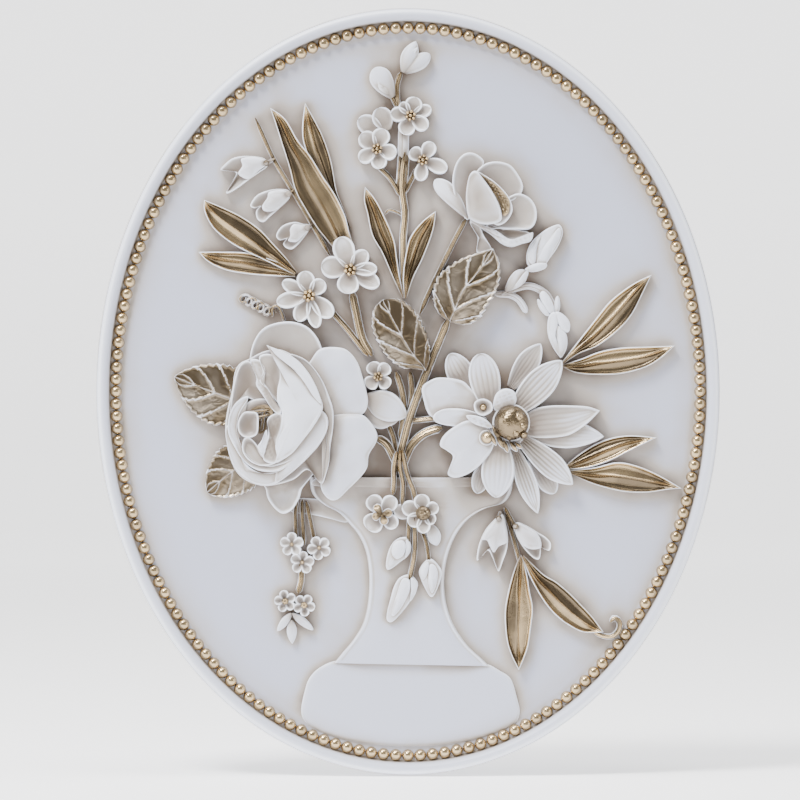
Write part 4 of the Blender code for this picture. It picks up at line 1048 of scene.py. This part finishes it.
# %% Buds and loose petals
BUDS = (
    ("split_left", (403, 72), (416, 41), 17, 5.8, 5.0, 1.8, 0.5, 0.75),
    ("split_right", (405, 72), (430, 54), 15, 5.4, 4.6, 1.6, 0.6, 0.5),
    ("round", (393, 97), (374, 68), 22, 4.6, 6.0, 2.2, 0.66, 0.5),
    ("vase_petal", (430, 524), (437, 546), 14, 8.0, 7.0, 0.8, 0.55, 0.6),
    ("right_small", (506, 291), (526, 271), 15, 5.0, 5.6, 1.6, 0.65, 0.5),
    ("right_sliver", (557, 316), (558, 296), 6, 5.0, 4.6, 1.0, 0.5, 0.5),
    ("sprig_point", (291, 621), (292, 645), 10, 3.6, 3.0, 1.0, 0.45, 0.8),
    ("sprig_left", (291, 614), (277, 632), 8, 4.2, 3.4, 1.0, 0.45, 0.6),
    ("sprig_right", (292, 614), (313, 631), 8, 4.2, 3.4, 1.0, 0.45, 0.6),
)
buds = []
for name, base, tip, width, low, high, dome, widest, blunt in BUDS:
    buds.append(petal("bud_" + name, base, tip, width, low, high, dome=dome, widest=widest, blunt=blunt,
                      neck=0.28, roll=0.8, roll_width=1.0, lip=0.0, columns=14, rows=18))
FOLDED_SEPALS = (((388, 94), (378, 72), 9, 7.4, 2), ((404, 69), (418, 47), 8, 7.0, 2))
for i, (base, tip, width, high, bow) in enumerate(FOLDED_SEPALS):
    buds.append(petal(f"bud_sepal_{i}", base, tip, width, high - 1.0, high - 1.2, dome=0.9, widest=0.4,
                      blunt=0.7, bow=bow, lip=0.3, roll=0.5, roll_width=0.6, columns=10, rows=16,
                      crumple=0.15, white=0.5))
LOOSE_PETALS = (
    ("beside_rose_up", (366, 397), (407, 417), 30, 6.4, 6.0, 1.4, 0.45, 0.7),
    ("beside_rose_low", (364, 408), (398, 421), 30, 5.6, 5.0, 1.2, 0.5, 0.7),
)
DRAWN_BUDS = (
    ("left", 9.4, (
        (407, 538, 7.4), (398, 539, 7.6), (391, 546, 7.4), (387, 557, 7.0), (386, 568, 6.6), (390, 570, 6.6),
        (401, 562, 7.0), (408, 556, 7.4), (411, 546, 7.6))),
    ("left_curl", 10.6, (
        (396, 542, 9.0), (403, 541, 9.4), (406, 547, 9.6), (403, 556, 9.2), (396, 560, 8.8), (392, 556, 8.8),
        (392, 548, 9.0))),
    ("left_side", 9.8, ((406, 540, 8.6), (411, 545, 8.4), (410, 553, 8.2), (405, 558, 8.4), (406, 549, 9.0))),
    ("low", 9.8, (
        (409, 575, 7.6), (400, 578, 7.8), (394, 587, 7.6), (390, 601, 7.2), (387, 613, 6.8), (387, 621, 6.4),
        (393, 622, 6.4), (406, 608, 7.0), (414, 595, 7.6), (418, 585, 7.8), (414, 578, 7.6))),
    ("low_front", 10.8, (
        (402, 580, 9.0), (409, 580, 9.6), (410, 590, 9.6), (404, 604, 9.0), (395, 616, 8.0), (391, 615, 7.8),
        (395, 598, 8.8))),
    ("low_side", 10.2, ((411, 578, 8.8), (417, 584, 8.4), (416, 593, 8.4), (410, 602, 8.4), (411, 590, 9.2))),
    ("right", 9.6, (
        (430, 559, 7.4), (423, 564, 7.6), (419, 572, 7.6), (421, 580, 7.4), (425, 589, 7.0), (430, 597, 6.4),
        (434, 596, 6.4), (439, 585, 7.2), (442, 573, 7.6), (437, 564, 7.6))),
    ("right_left_lobe", 10.2, (
        (428, 562, 8.4), (422, 566, 8.4), (420, 574, 8.4), (423, 581, 8.2), (427, 577, 9.0),
        (429, 568, 9.2))),
    ("right_front", 10.8, (
        (430, 565, 9.2), (435, 566, 9.4), (438, 574, 9.2), (436, 586, 8.6), (432, 594, 7.8), (428, 585, 8.6),
        (428, 575, 9.2))),
    ("big", 7.8, (
        (528, 265, 5.6), (527, 254, 6.0), (532, 242, 6.2), (544, 231, 6.2), (556, 225, 6.0), (561, 226, 5.8),
        (563, 234, 5.8), (558, 247, 5.8), (549, 260, 5.8), (544, 267, 5.6), (535, 268, 5.4))),
    ("big_side", 8.4, (
        (529, 262, 6.4), (528, 253, 6.6), (533, 243, 6.8), (541, 236, 6.8), (538, 246, 7.0),
        (535, 264, 6.6))),
    ("big_front", 8.6, (
        (537, 265, 6.4), (539, 252, 6.8), (548, 240, 7.0), (559, 228, 6.6), (561, 236, 6.6), (555, 249, 6.6),
        (545, 265, 6.4))),
    ("big_cap", 8.6, (
        (525, 270, 6.0), (532, 265, 7.2), (540, 263, 7.6), (547, 264, 7.4), (545, 269, 6.8),
        (534, 272, 6.0))),
    ("small_fold", 7.4, ((512, 289, 5.4), (519, 279, 6.4), (527, 271, 6.6), (528, 276, 6.2), (520, 286, 5.8))),
    ("hanging_left", 7.4, (
        (549, 317, 5.4), (555, 312, 6.0), (558, 322, 6.4), (556, 336, 6.2), (559, 350, 5.8), (561, 358, 5.2),
        (553, 347, 5.4), (548, 333, 5.4))),
    ("hanging_right", 7.8, (
        (556, 312, 6.0), (564, 315, 6.4), (570, 323, 6.4), (569, 332, 6.2), (563, 331, 6.4),
        (558, 323, 6.4))),
    ("hanging_front", 8.0, (
        (556, 326, 6.0), (562, 329, 6.4), (567, 336, 6.2), (567, 348, 5.8), (561, 358, 5.2),
        (557, 346, 5.8))),
    ("tuft", 6.6, (
        (544, 291, 4.6), (551, 299, 5.2), (555, 312, 5.0), (549, 313, 5.2), (543, 304, 5.2),
        (540, 295, 4.8))),
    ("tuft_low", 6.0, ((538, 299, 4.4), (544, 305, 5.0), (550, 315, 4.8), (545, 315, 4.6), (539, 307, 4.4))),
)
for name, crown, outline in DRAWN_BUDS:
    buds.append(plate("bud_" + name, outline, crown, lip=0.25, roll=0.7, roll_width=0.9, spacing=1.1,
                      white=0.5))
for name, base, tip, width, low, high, dome, widest, blunt in LOOSE_PETALS:
    buds.append(petal("petal_" + name, base, tip, width, low, high, dome=dome, widest=widest, blunt=blunt,
                      lip=0.4, columns=16, rows=20))

# %% Bell flowers
BELLS = (
    ("first", 5.6, (
        (266, 160), (259, 157), (244, 156), (231, 159), (221, 168), (221, 170), (230, 171), (236, 173),
        (232, 182),
        (226, 192), (228, 193), (237, 188), (249, 179), (259, 172), (267, 166)),
     ((266, 161), (259, 158), (250, 157), (241, 159), (242, 166), (238, 174), (248, 179), (258, 171),
      (266, 165)),
     ((266, 163), (275, 158))),
    ("second", 5.2, (
        (289, 191), (281, 189), (270, 190), (257, 195), (250, 205), (254, 208), (260, 206), (256, 211),
        (257, 219),
        (263, 222), (270, 216), (278, 209), (289, 198)),
     ((288, 192), (280, 190), (269, 192), (267, 198), (262, 206), (264, 211), (273, 211), (281, 206),
      (289, 197)),
     ((288, 194), (296, 188))),
    ("third", 4.8, (
        (309, 225), (303, 224), (294, 222), (282, 226), (276, 235), (279, 240), (286, 239), (283, 244),
        (286, 248),
        (292, 249), (299, 243), (308, 231)),
     ((308, 226), (302, 225), (294, 224), (290, 229), (290, 236), (288, 241), (296, 242), (302, 237),
      (308, 230)),
     ((307, 228), (315, 222))),
    ("low_left", 6.0, (
        (501, 515), (494, 521), (486, 530), (481, 540), (478, 550), (477, 561), (481, 558), (488, 551),
        (493, 559),
        (496, 567), (499, 572), (503, 562), (507, 550), (508, 538), (506, 525), (504, 517)),
     ((501, 516), (494, 522), (486, 531), (482, 540), (487, 541), (490, 547), (494, 553), (499, 547),
      (507, 543),
      (507, 535), (505, 524), (503, 517)), ((499, 519), (501, 512))),
    ("low_right", 6.0, (
        (518, 523), (528, 527), (538, 533), (546, 538), (551, 544), (550, 551), (545, 550), (541, 548),
        (541, 553),
        (539, 560), (533, 558), (525, 550), (519, 541), (515, 532), (514, 527)),
     ((518, 524), (528, 528), (537, 534), (541, 541), (541, 548), (534, 550), (526, 548), (520, 541),
      (516, 532)),
     ((516, 527), (508, 516))),
)
for name, height, whole, cover, cap in BELLS:
    front = [(across, down, height) for across, down in cover]
    inside = [(across, down, height * 0.76) for across, down in whole]
    ball = circle(*cap[0], 3.2, height, 8)
    buds.append(plate(f"bell_{name}", front, height * 1.3, roll=0.9, roll_width=1.2, lip=0.3, spacing=1.1,
                      white=0.5, wave=0.3, deep=0.12))
    buds.append(plate(f"bell_{name}_mouth", inside, height * 0.45, swell=2.4, roll=0.2, lip=0.6, spacing=1.1,
                      deep=0.3, white=0.6))
    buds.append(plate(f"bell_{name}_cap", ball, height * 1.36, ball=True, roll=0.0, spacing=0.9, crumple=0.4,
                      gold=0.5, deep=0.3))
    buds.append(stalk(f"bell_{name}_stalk", cap, 3.6, 2.0, height * 0.9, gold=0.5, groove=0.2))
pieces["buds_and_bells"] = join("buds_and_bells", buds)

# %% [markdown]
# ## Where the wash and the painted shade settle
# The maker rubs a warm wash over the ivory and wipes it off, so it stays in the hollows and round the foot
# of every form. The same mask also paints the shade that falls there, so the darkening is partly wash and
# partly painted shade. To know the hollows, each point looks out to the front in many directions: the more
# of the relief it meets close by, the deeper it lies. The share is kept on the points, where a material can
# read it.

# %% Look out from every point
FAR_REACH = 0.026
NEAR_REACH = 0.011
AZIMUTHS = 8
RAY_TILTS = (12, 42)
LIFT = 0.0003
CREASE_DEPTH = 0.00012
FRONT_Y = -0.0085
CREASE_WASH_AND_SHADE = 0.25
MOUTH_WASH_AND_SHADE = 0.28
DAISY_SHADOW_ON_VASE = 0.3
BEAD_SHARE = 0.25


def relief_tree():
    """One search tree of every piece's triangles."""
    corners, triangles, first = [], [], 0
    for piece in pieces.values():
        piece.data.calc_loop_triangles()
        index = np.empty(3 * len(piece.data.loop_triangles), dtype=np.int32)
        piece.data.loop_triangles.foreach_get("vertices", index)
        corners.append(read_points(piece))
        triangles.append(index.reshape(-1, 3) + first)
        first += len(piece.data.vertices)
    corners, triangles = np.vstack(corners).tolist(), np.vstack(triangles).tolist()
    return BVHTree.FromPolygons(corners, triangles, all_triangles=True)


def look_out(tree, points, directions, reach):
    """How much of the view from each point is closed by relief within reach, near relief counting most."""
    hidden = np.zeros(len(points))
    for i, point in enumerate(points.tolist()):
        origin = Vector((point[0], point[1] - LIFT, point[2]))
        met = 0.0
        for direction in directions:
            distance = tree.ray_cast(origin, direction, reach)[3]
            if distance is not None:
                met += 1 - distance / reach
        hidden[i] = met
    return hidden / len(directions)


def spread(piece, values, rounds):
    """Averages each point's value with its neighbours along the mesh's edges."""
    edges = np.empty(2 * len(piece.data.edges), dtype=np.int32)
    piece.data.edges.foreach_get("vertices", edges)
    edges = edges.reshape(-1, 2)
    for _ in range(rounds):
        total, count = values.copy(), np.ones(len(values))
        for a, b in ((0, 1), (1, 0)):
            total += np.bincount(edges[:, a], weights=values[edges[:, b]], minlength=len(values))
            count += np.bincount(edges[:, a], minlength=len(values))
        values = total / count
    return values


def patch(points, middle, reach, power):
    """1 in an oval patch round a middle, falling to 0 beyond its reach. A high power has a flat top."""
    away = np.abs(points[:, (0, 2)] - middle) / reach
    return np.exp(-(away**power).sum(axis=1))


def board_wash_and_shade_share(points):
    """The share of the wash and painted shade that stays on the board: little of it on the rim, most of it in
    the field.
    """
    to_edge = 1 - np.hypot(points[:, 0] / HALF_WIDTH, points[:, 2] / HALF_HEIGHT)
    return 0.88 - 0.78 * np.exp(-(((to_edge - 0.052) / 0.034) ** 4))


directions = []
for tilt in RAY_TILTS:
    for i in range(AZIMUTHS):
        turn = math.tau * (i + 0.5 * (tilt == RAY_TILTS[1])) / AZIMUTHS
        flat, out = math.cos(math.radians(tilt)), math.sin(math.radians(tilt))
        directions.append(Vector((flat * math.cos(turn), -out, flat * math.sin(turn))))
tree = relief_tree()
for name, piece in pieces.items():
    points = read_points(piece)
    seen = points[:, 1] < FRONT_Y
    reach = FAR_REACH if name in ("board", "vase") else NEAR_REACH
    hidden = np.zeros(len(points))
    hidden[seen] = look_out(tree, points[seen], directions, reach)
    hidden = spread(piece, hidden, 2)
    # The beads keep only a little of the wash and painted shade.
    if name == "beads":
        hidden *= BEAD_SHARE
    # On the board the wash and painted shade are kept mostly off the rim, and the recess above the vase's
    # mouth, between the stalks, is painted darker: wash and painted shade.
    if name == "board":
        hidden = hidden * board_wash_and_shade_share(points) + MOUTH_WASH_AND_SHADE * patch(points, (0, -0.018), (0.034, 0.024), 4)
    # The flowers take more of it: wash and painted shade in their folds.
    if name in ("rose", "peony", "buds_and_bells", "daisy"):
        hidden = hidden * 1.25 + 0.04
    # A patch of the vase under the daisy is painted darker: a painted shadow of the daisy.
    if name == "vase":
        hidden += DAISY_SHADOW_ON_VASE * patch(points, (0.031, -0.051), (0.011, 0.013), 2)
    # Points lower than their neighbours are darker: wash and painted shade in the creases.
    crease = np.clip((points[:, 1] - spread(piece, points[:, 1], 2)) / CREASE_DEPTH, 0, 1)
    extra = np.empty(len(points), dtype=np.float32)
    piece.data.attributes["deep"].data.foreach_get("value", extra)
    hidden = hidden + CREASE_WASH_AND_SHADE * crease * seen + extra
    paint(piece, "hollow", hidden)
    print(name, "hollow share, mean and greatest:", round(hidden[seen].mean(), 3), round(hidden.max(), 3))

# %% [markdown]
# ## The paint
# All the paint is one recipe with different numbers, so its parts are node groups. One group makes the ivory
# from the masks kept on the points: wash and painted shade in the hollows, and paler rims, partly paint
# thinned by use and partly a painted highlight. Another makes the champagne gold, darker in the hollows,
# partly wash and partly painted shade. The Principled shader itself stays in each material.

# %% Node helpers
COLOUR = "NodeSocketColor"
NUMBER = "NodeSocketFloat"


def add(tree, kind, **settings):
    """A node of the kind, with its properties set, and its inputs where the name is an input's."""
    node = tree.nodes.new(kind)
    for key, value in settings.items():
        label = key.replace("_", " ")
        if label in node.inputs:
            node.inputs[label].default_value = value
        else:
            setattr(node, key, value)
    return node


def mix_colour(tree, factor, first, second):
    """A colour mix whose three inputs may be sockets or values."""
    node = tree.nodes.new("ShaderNodeMix")
    node.data_type = "RGBA"
    for socket, value in ((node.inputs[0], factor), (node.inputs[6], first), (node.inputs[7], second)):
        if isinstance(value, bpy.types.NodeSocket):
            tree.links.new(value, socket)
        else:
            socket.default_value = value
    return node.outputs[2]


def ramp(tree, value, low, high, bottom=0.0, top=1.0):
    """A smooth step of a value from low to high."""
    node = tree.nodes.new("ShaderNodeMapRange")
    node.interpolation_type = "SMOOTHSTEP"
    node.clamp = True
    for label, number in (("From Min", low), ("From Max", high), ("To Min", bottom), ("To Max", top)):
        node.inputs[label].default_value = number
    tree.links.new(value, node.inputs["Value"])
    return node.outputs["Result"]


def combine(tree, operation, first, second):
    """A sum, difference or product of two sockets or values."""
    node = tree.nodes.new("ShaderNodeMath")
    node.operation = operation
    for socket, value in zip(node.inputs, (first, second)):
        if isinstance(value, bpy.types.NodeSocket):
            tree.links.new(value, socket)
        else:
            socket.default_value = value
    return node.outputs[0]


def new_group(name, inputs, outputs):
    """A node group with its inputs (label, kind, value) and outputs (label, kind)."""
    group = bpy.data.node_groups.new(name, "ShaderNodeTree")
    for label, kind, value in inputs:
        socket = group.interface.new_socket(label, in_out="INPUT", socket_type=kind)
        socket.default_value = value
    for label, kind in outputs:
        group.interface.new_socket(label, in_out="OUTPUT", socket_type=kind)
    return group, group.nodes.new("NodeGroupInput"), group.nodes.new("NodeGroupOutput")


def object_noise(tree, **settings):
    """Noise that belongs to the object, so it moves along with the piece."""
    where = add(tree, "ShaderNodeTexCoord")
    noise = add(tree, "ShaderNodeTexNoise", **settings)
    tree.links.new(where.outputs["Object"], noise.inputs["Vector"])
    return noise


# %% Ivory with wash, painted shade and painted highlight
IVORY_INPUTS = (
    ("Body", COLOUR, (0.42, 0.445, 0.56, 1)), ("Bright", COLOUR, (0.90, 0.93, 1.0, 1)),
    ("Warm", COLOUR, (0.37, 0.33, 0.295, 1)), ("Wash And Shade", COLOUR, (0.13, 0.095, 0.068, 1)),
    ("Hollow", NUMBER, 0.0), ("Rim", NUMBER, 0.0), ("White", NUMBER, 1.0), ("Wash And Shade Strength", NUMBER, 1.0),
)
ivory, given, made = new_group("Ivory with wash and painted light", IVORY_INPUTS, (("Color", COLOUR), ("Mottle", NUMBER)))
cloud = object_noise(ivory, Scale=34.0, Detail=3.0)
speck = object_noise(ivory, Scale=420.0, Detail=2.0)
ground = mix_colour(ivory, given.outputs["White"], given.outputs["Body"], given.outputs["Bright"])
clouded = ramp(ivory, cloud.outputs["Fac"], 0.3, 0.75, 0.75, 1.35)
# The hollow mask is wash and painted shade; the warm tint and the dark colour follow it, less on the rims.
uneven = combine(ivory, "MULTIPLY", given.outputs["Hollow"], clouded)
wash_and_shade_share = combine(ivory, "SUBTRACT", uneven, combine(ivory, "MULTIPLY", given.outputs["Rim"], 0.35))
warmed = mix_colour(ivory, ramp(ivory, wash_and_shade_share, -0.02, 0.34), ground, given.outputs["Warm"])
wash_and_shade_amount = combine(ivory, "MULTIPLY", ramp(ivory, wash_and_shade_share, 0.18, 0.85), given.outputs["Wash And Shade Strength"])
washed_and_shaded = mix_colour(ivory, wash_and_shade_amount, warmed, given.outputs["Wash And Shade"])
# Paler rims: paint thinned by use, and a painted highlight.
wear_and_highlight = combine(ivory, "MULTIPLY", given.outputs["Rim"], 0.85)
worn_and_highlit = mix_colour(ivory, wear_and_highlight, washed_and_shaded, given.outputs["Bright"])
ivory.links.new(worn_and_highlit, made.inputs["Color"])
ivory.links.new(speck.outputs["Fac"], made.inputs["Mottle"])
print("group", ivory.name, "has", len(ivory.nodes), "nodes")

# %% Champagne gold
GOLD = (0.56, 0.415, 0.235, 1)
GOLD_INPUTS = (
    ("Light", COLOUR, GOLD), ("Deep", COLOUR, (0.13, 0.097, 0.06, 1)), ("Hollow", NUMBER, 0.0),
    ("Cover", NUMBER, 1.0),
)
champagne, given, made = new_group("Champagne gold", GOLD_INPUTS, (("Color", COLOUR), ("Mask", NUMBER)))
brush = object_noise(champagne, Scale=260.0, Detail=3.0, Roughness=0.6)
broad = object_noise(champagne, Scale=55.0, Detail=2.0)
# Darker gold in the hollows is wash and painted shade; the broad noise is the gold's own uneven tone.
dull = combine(champagne, "ADD", ramp(champagne, given.outputs["Hollow"], 0.05, 0.55, 0.0, 0.85),
               ramp(champagne, broad.outputs["Fac"], 0.4, 0.75, 0.0, 0.45))
tone = mix_colour(champagne, dull, given.outputs["Light"], given.outputs["Deep"])
brushed = ramp(champagne, brush.outputs["Fac"], 0.3, 0.7, -0.22, 0.22)
ragged = combine(champagne, "ADD", given.outputs["Cover"], brushed)
covered = ramp(champagne, given.outputs["Cover"], 0.0, 0.1)
mask = combine(champagne, "MULTIPLY", ramp(champagne, ragged, 0.38, 0.62), covered)
champagne.links.new(tone, made.inputs["Color"])
champagne.links.new(mask, made.inputs["Mask"])
print("group", champagne.name, "has", len(champagne.nodes), "nodes")

# %% [markdown]
# ## Grain along the petals
# Petals and leaves have fine lines from base to tip. They follow the form, so they read its own UV map,
# where one direction runs across and the other along, and a noise that is squeezed across and stretched
# along turns into lines. They only need to catch the light, so they go into a Bump node. A second group
# crumples the gold of the broad leaves like foil.

# %% Lines along a petal
grain, given, made = new_group("Petal lines", (), (("Height", NUMBER),))
own_map = grain.nodes.new("ShaderNodeUVMap")
own_map.uv_map = "UVMap"
stretch = grain.nodes.new("ShaderNodeMapping")
stretch.inputs["Scale"].default_value = (16.0, 1.6, 1.0)
lines = add(grain, "ShaderNodeTexNoise", Scale=1.0, Detail=3.0, Roughness=0.55)
grain.links.new(own_map.outputs["UV"], stretch.inputs["Vector"])
grain.links.new(stretch.outputs["Vector"], lines.inputs["Vector"])
grain.links.new(lines.outputs["Fac"], made.inputs["Height"])
crinkle, given, made = new_group("Crinkled foil", (("Size", NUMBER, 130.0),), (("Height", NUMBER),))
facets = object_noise(crinkle, Detail=2.0, Roughness=0.5, Distortion=1.4)
crinkle.links.new(given.outputs["Size"], facets.inputs["Scale"])
crinkle.links.new(facets.outputs["Fac"], made.inputs["Height"])


# %% The recipe
YELLOW_GOLD = (0.52, 0.39, 0.22, 1)
SILVER_GOLD = (0.68, 0.59, 0.48, 1)


def painted(name, wash_and_shade_strength, gold_rough, line_height, crinkle_height=0.0, gold=GOLD):
    """A material of ivory and champagne gold, with wash, painted shade and painted highlight, from the masks on
    the piece's points.
    """
    material = bpy.data.materials.new(name)
    material.use_nodes = True
    tree = material.node_tree
    shader = tree.nodes["Principled BSDF"]
    masks = {}
    for label in ("hollow", "rim", "white", "gold"):
        masks[label] = add(tree, "ShaderNodeAttribute", attribute_name=label).outputs["Fac"]
    paint_node = tree.nodes.new("ShaderNodeGroup")
    paint_node.node_tree = ivory
    paint_node.inputs["Wash And Shade Strength"].default_value = wash_and_shade_strength
    for socket, label in (("Hollow", "hollow"), ("Rim", "rim"), ("White", "white")):
        tree.links.new(masks[label], paint_node.inputs[socket])
    gold_node = tree.nodes.new("ShaderNodeGroup")
    gold_node.node_tree = champagne
    gold_node.inputs["Light"].default_value = gold
    tree.links.new(masks["hollow"], gold_node.inputs["Hollow"])
    tree.links.new(masks["gold"], gold_node.inputs["Cover"])
    mask = gold_node.outputs["Mask"]
    colour = mix_colour(tree, mask, paint_node.outputs["Color"], gold_node.outputs["Color"])
    tree.links.new(colour, shader.inputs["Base Color"])
    tree.links.new(combine(tree, "MULTIPLY", mask, 0.92), shader.inputs["Metallic"])
    tree.links.new(ramp(tree, mask, 0.0, 1.0, 0.4, gold_rough), shader.inputs["Roughness"])
    line_node = tree.nodes.new("ShaderNodeGroup")
    line_node.node_tree = grain
    surface = combine(tree, "ADD", combine(tree, "MULTIPLY", line_node.outputs["Height"], line_height),
                      combine(tree, "MULTIPLY", paint_node.outputs["Mottle"], 0.05))
    if crinkle_height:
        foil = tree.nodes.new("ShaderNodeGroup")
        foil.node_tree = crinkle
        only_gold = combine(tree, "MULTIPLY", foil.outputs["Height"], mask)
        surface = combine(tree, "ADD", surface, combine(tree, "MULTIPLY", only_gold, crinkle_height))
    bump = add(tree, "ShaderNodeBump", Strength=0.7, Distance=0.0007)
    tree.links.new(surface, bump.inputs["Height"])
    tree.links.new(bump.outputs["Normal"], shader.inputs["Normal"])
    return material


# %% Paint every piece
field_paint = painted("field_paint", 1.0, 0.3, 0.0)
petal_paint = painted("petal_paint", 0.85, 0.3, 0.4, 0.8)
striped_petal_paint = painted("striped_petal_paint", 0.85, 0.22, 0.5, 1.6)
smooth_petal_paint = painted("smooth_petal_paint", 0.85, 0.3, 0.0)
gold_leaf_paint = painted("gold_leaf_paint", 0.9, 0.24, 0.25, 0.15)
crinkled_leaf_paint = painted("crinkled_leaf_paint", 0.9, 0.3, 0.0, 1.1, gold=SILVER_GOLD)
bead_paint = painted("bead_paint", 1.0, 0.16, 0.0, gold=YELLOW_GOLD)
COATS = {
    "board": field_paint, "vase": field_paint, "beads": bead_paint, "rose": smooth_petal_paint,
    "daisy": striped_petal_paint, "peony": petal_paint, "long_leaves": gold_leaf_paint,
    "veined_leaves": crinkled_leaf_paint, "stalks": gold_leaf_paint, "blossoms": petal_paint,
    "buds_and_bells": petal_paint,
}
for name, piece in pieces.items():
    piece.data.materials.clear()
    piece.data.materials.append(COATS[name])

# %% [markdown]
# ## Floor and light
# The plaque is shown as in a studio, on white. A pale sheet sweeps from the floor up to a backdrop, so far
# behind that a camera can also stand behind the plaque. The key is a broad soft light above and a little to
# the left, with weaker ones at both sides and above. A dark card behind the camera gives every round bead a
# dark spot in its middle, inside the bright ring that it mirrors from the sky.

# %% Floor that sweeps up into a backdrop
FLOOR_Z = -HALF_HEIGHT - 0.0005
FLOOR_FRONT = -1.0
FLOOR_HALF_WIDTH = 4.0
FLOOR_RUN = 7.6
BEND_START = 4.4
BEND_RADIUS = 0.5


def plain_paint(name, colour, roughness, glow):
    """One dull colour, with a white glow where it has to read as bright."""
    material = bpy.data.materials.new(name)
    material.use_nodes = True
    inputs = material.node_tree.nodes["Principled BSDF"].inputs
    inputs["Base Color"].default_value = colour
    inputs["Roughness"].default_value = roughness
    inputs["Emission Color"].default_value = (1.0, 1.0, 1.0, 1)
    inputs["Emission Strength"].default_value = glow
    return material


sweep, across, along = new_grid("floor_sweep", 4, 40)
run = along * FLOOR_RUN
bend_end = BEND_START + BEND_RADIUS * math.pi / 2
turned = np.clip((run - BEND_START) / BEND_RADIUS, 0, math.pi / 2)
floor_y = FLOOR_FRONT + np.minimum(run, BEND_START) + BEND_RADIUS * np.sin(turned)
floor_z = FLOOR_Z + BEND_RADIUS * (1 - np.cos(turned)) + np.clip(run - bend_end, 0, None)
write_points(sweep, np.stack([across * FLOOR_HALF_WIDTH, floor_y, floor_z], axis=1))
bpy.ops.object.shade_smooth()
sweep.data.materials.append(plain_paint("floor_paint", (0.93, 0.93, 0.94, 1), 0.8, 1.0))
sweep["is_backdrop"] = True

# %% Dark card behind the camera
CARD_PLACE = (0, -3.2, 0.2)
CARD_SIZE = (4.6, 3.8, 1)
bpy.ops.mesh.primitive_plane_add(size=1.0, location=CARD_PLACE, rotation=(math.pi / 2, 0, 0), scale=CARD_SIZE)
grey_card = bpy.context.active_object
grey_card.name = "grey_card"
grey_card.data.materials.append(plain_paint("card_paint", (0.1, 0.1, 0.11, 1), 0.9, 0.0))
grey_card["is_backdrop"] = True

# %% Soft lights
def soft_light(name, place_at, power, size):
    """A square area light that faces the plaque's middle."""
    bpy.ops.object.light_add(type="AREA", location=place_at)
    lamp = bpy.context.active_object
    lamp.name = name
    lamp.data.energy = power
    lamp.data.size = size
    lamp.rotation_euler = (-Vector(place_at)).to_track_quat("-Z", "Y").to_euler()


soft_light("key_light", (-0.9, -1.2, 2.0), 132, 0.8)
soft_light("left_light", (-2.1, -0.9, 0.4), 24, 1.2)
soft_light("right_light", (2.1, -1.0, 0.5), 12, 1.2)
soft_light("top_light", (0.2, -0.45, 2.3), 34, 1.0)
SKY_STRENGTH = 0.54
world = bpy.data.worlds.new("studio")
bpy.context.scene.world = world
world.use_nodes = True
background = world.node_tree.nodes["Background"]
background.inputs["Strength"].default_value = SKY_STRENGTH
background.inputs["Color"].default_value = (1.0, 1.0, 1.0, 1)

# %% [markdown]
# ## The body
# Every piece rides on the one body, and the board stands for the CAD node, which is hidden. The modelled
# plaque's box is printed in millimetres, with its count of faces.

# %% Ride, size and face count
for name, piece in pieces.items():
    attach(piece, "root")
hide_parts("relief_plaque")
low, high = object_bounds()
print("visual box in mm:", [round(1000 * side, 1) for side in high - low])
print("faces in all:", sum(len(piece.data.polygons) for piece in pieces.values()))
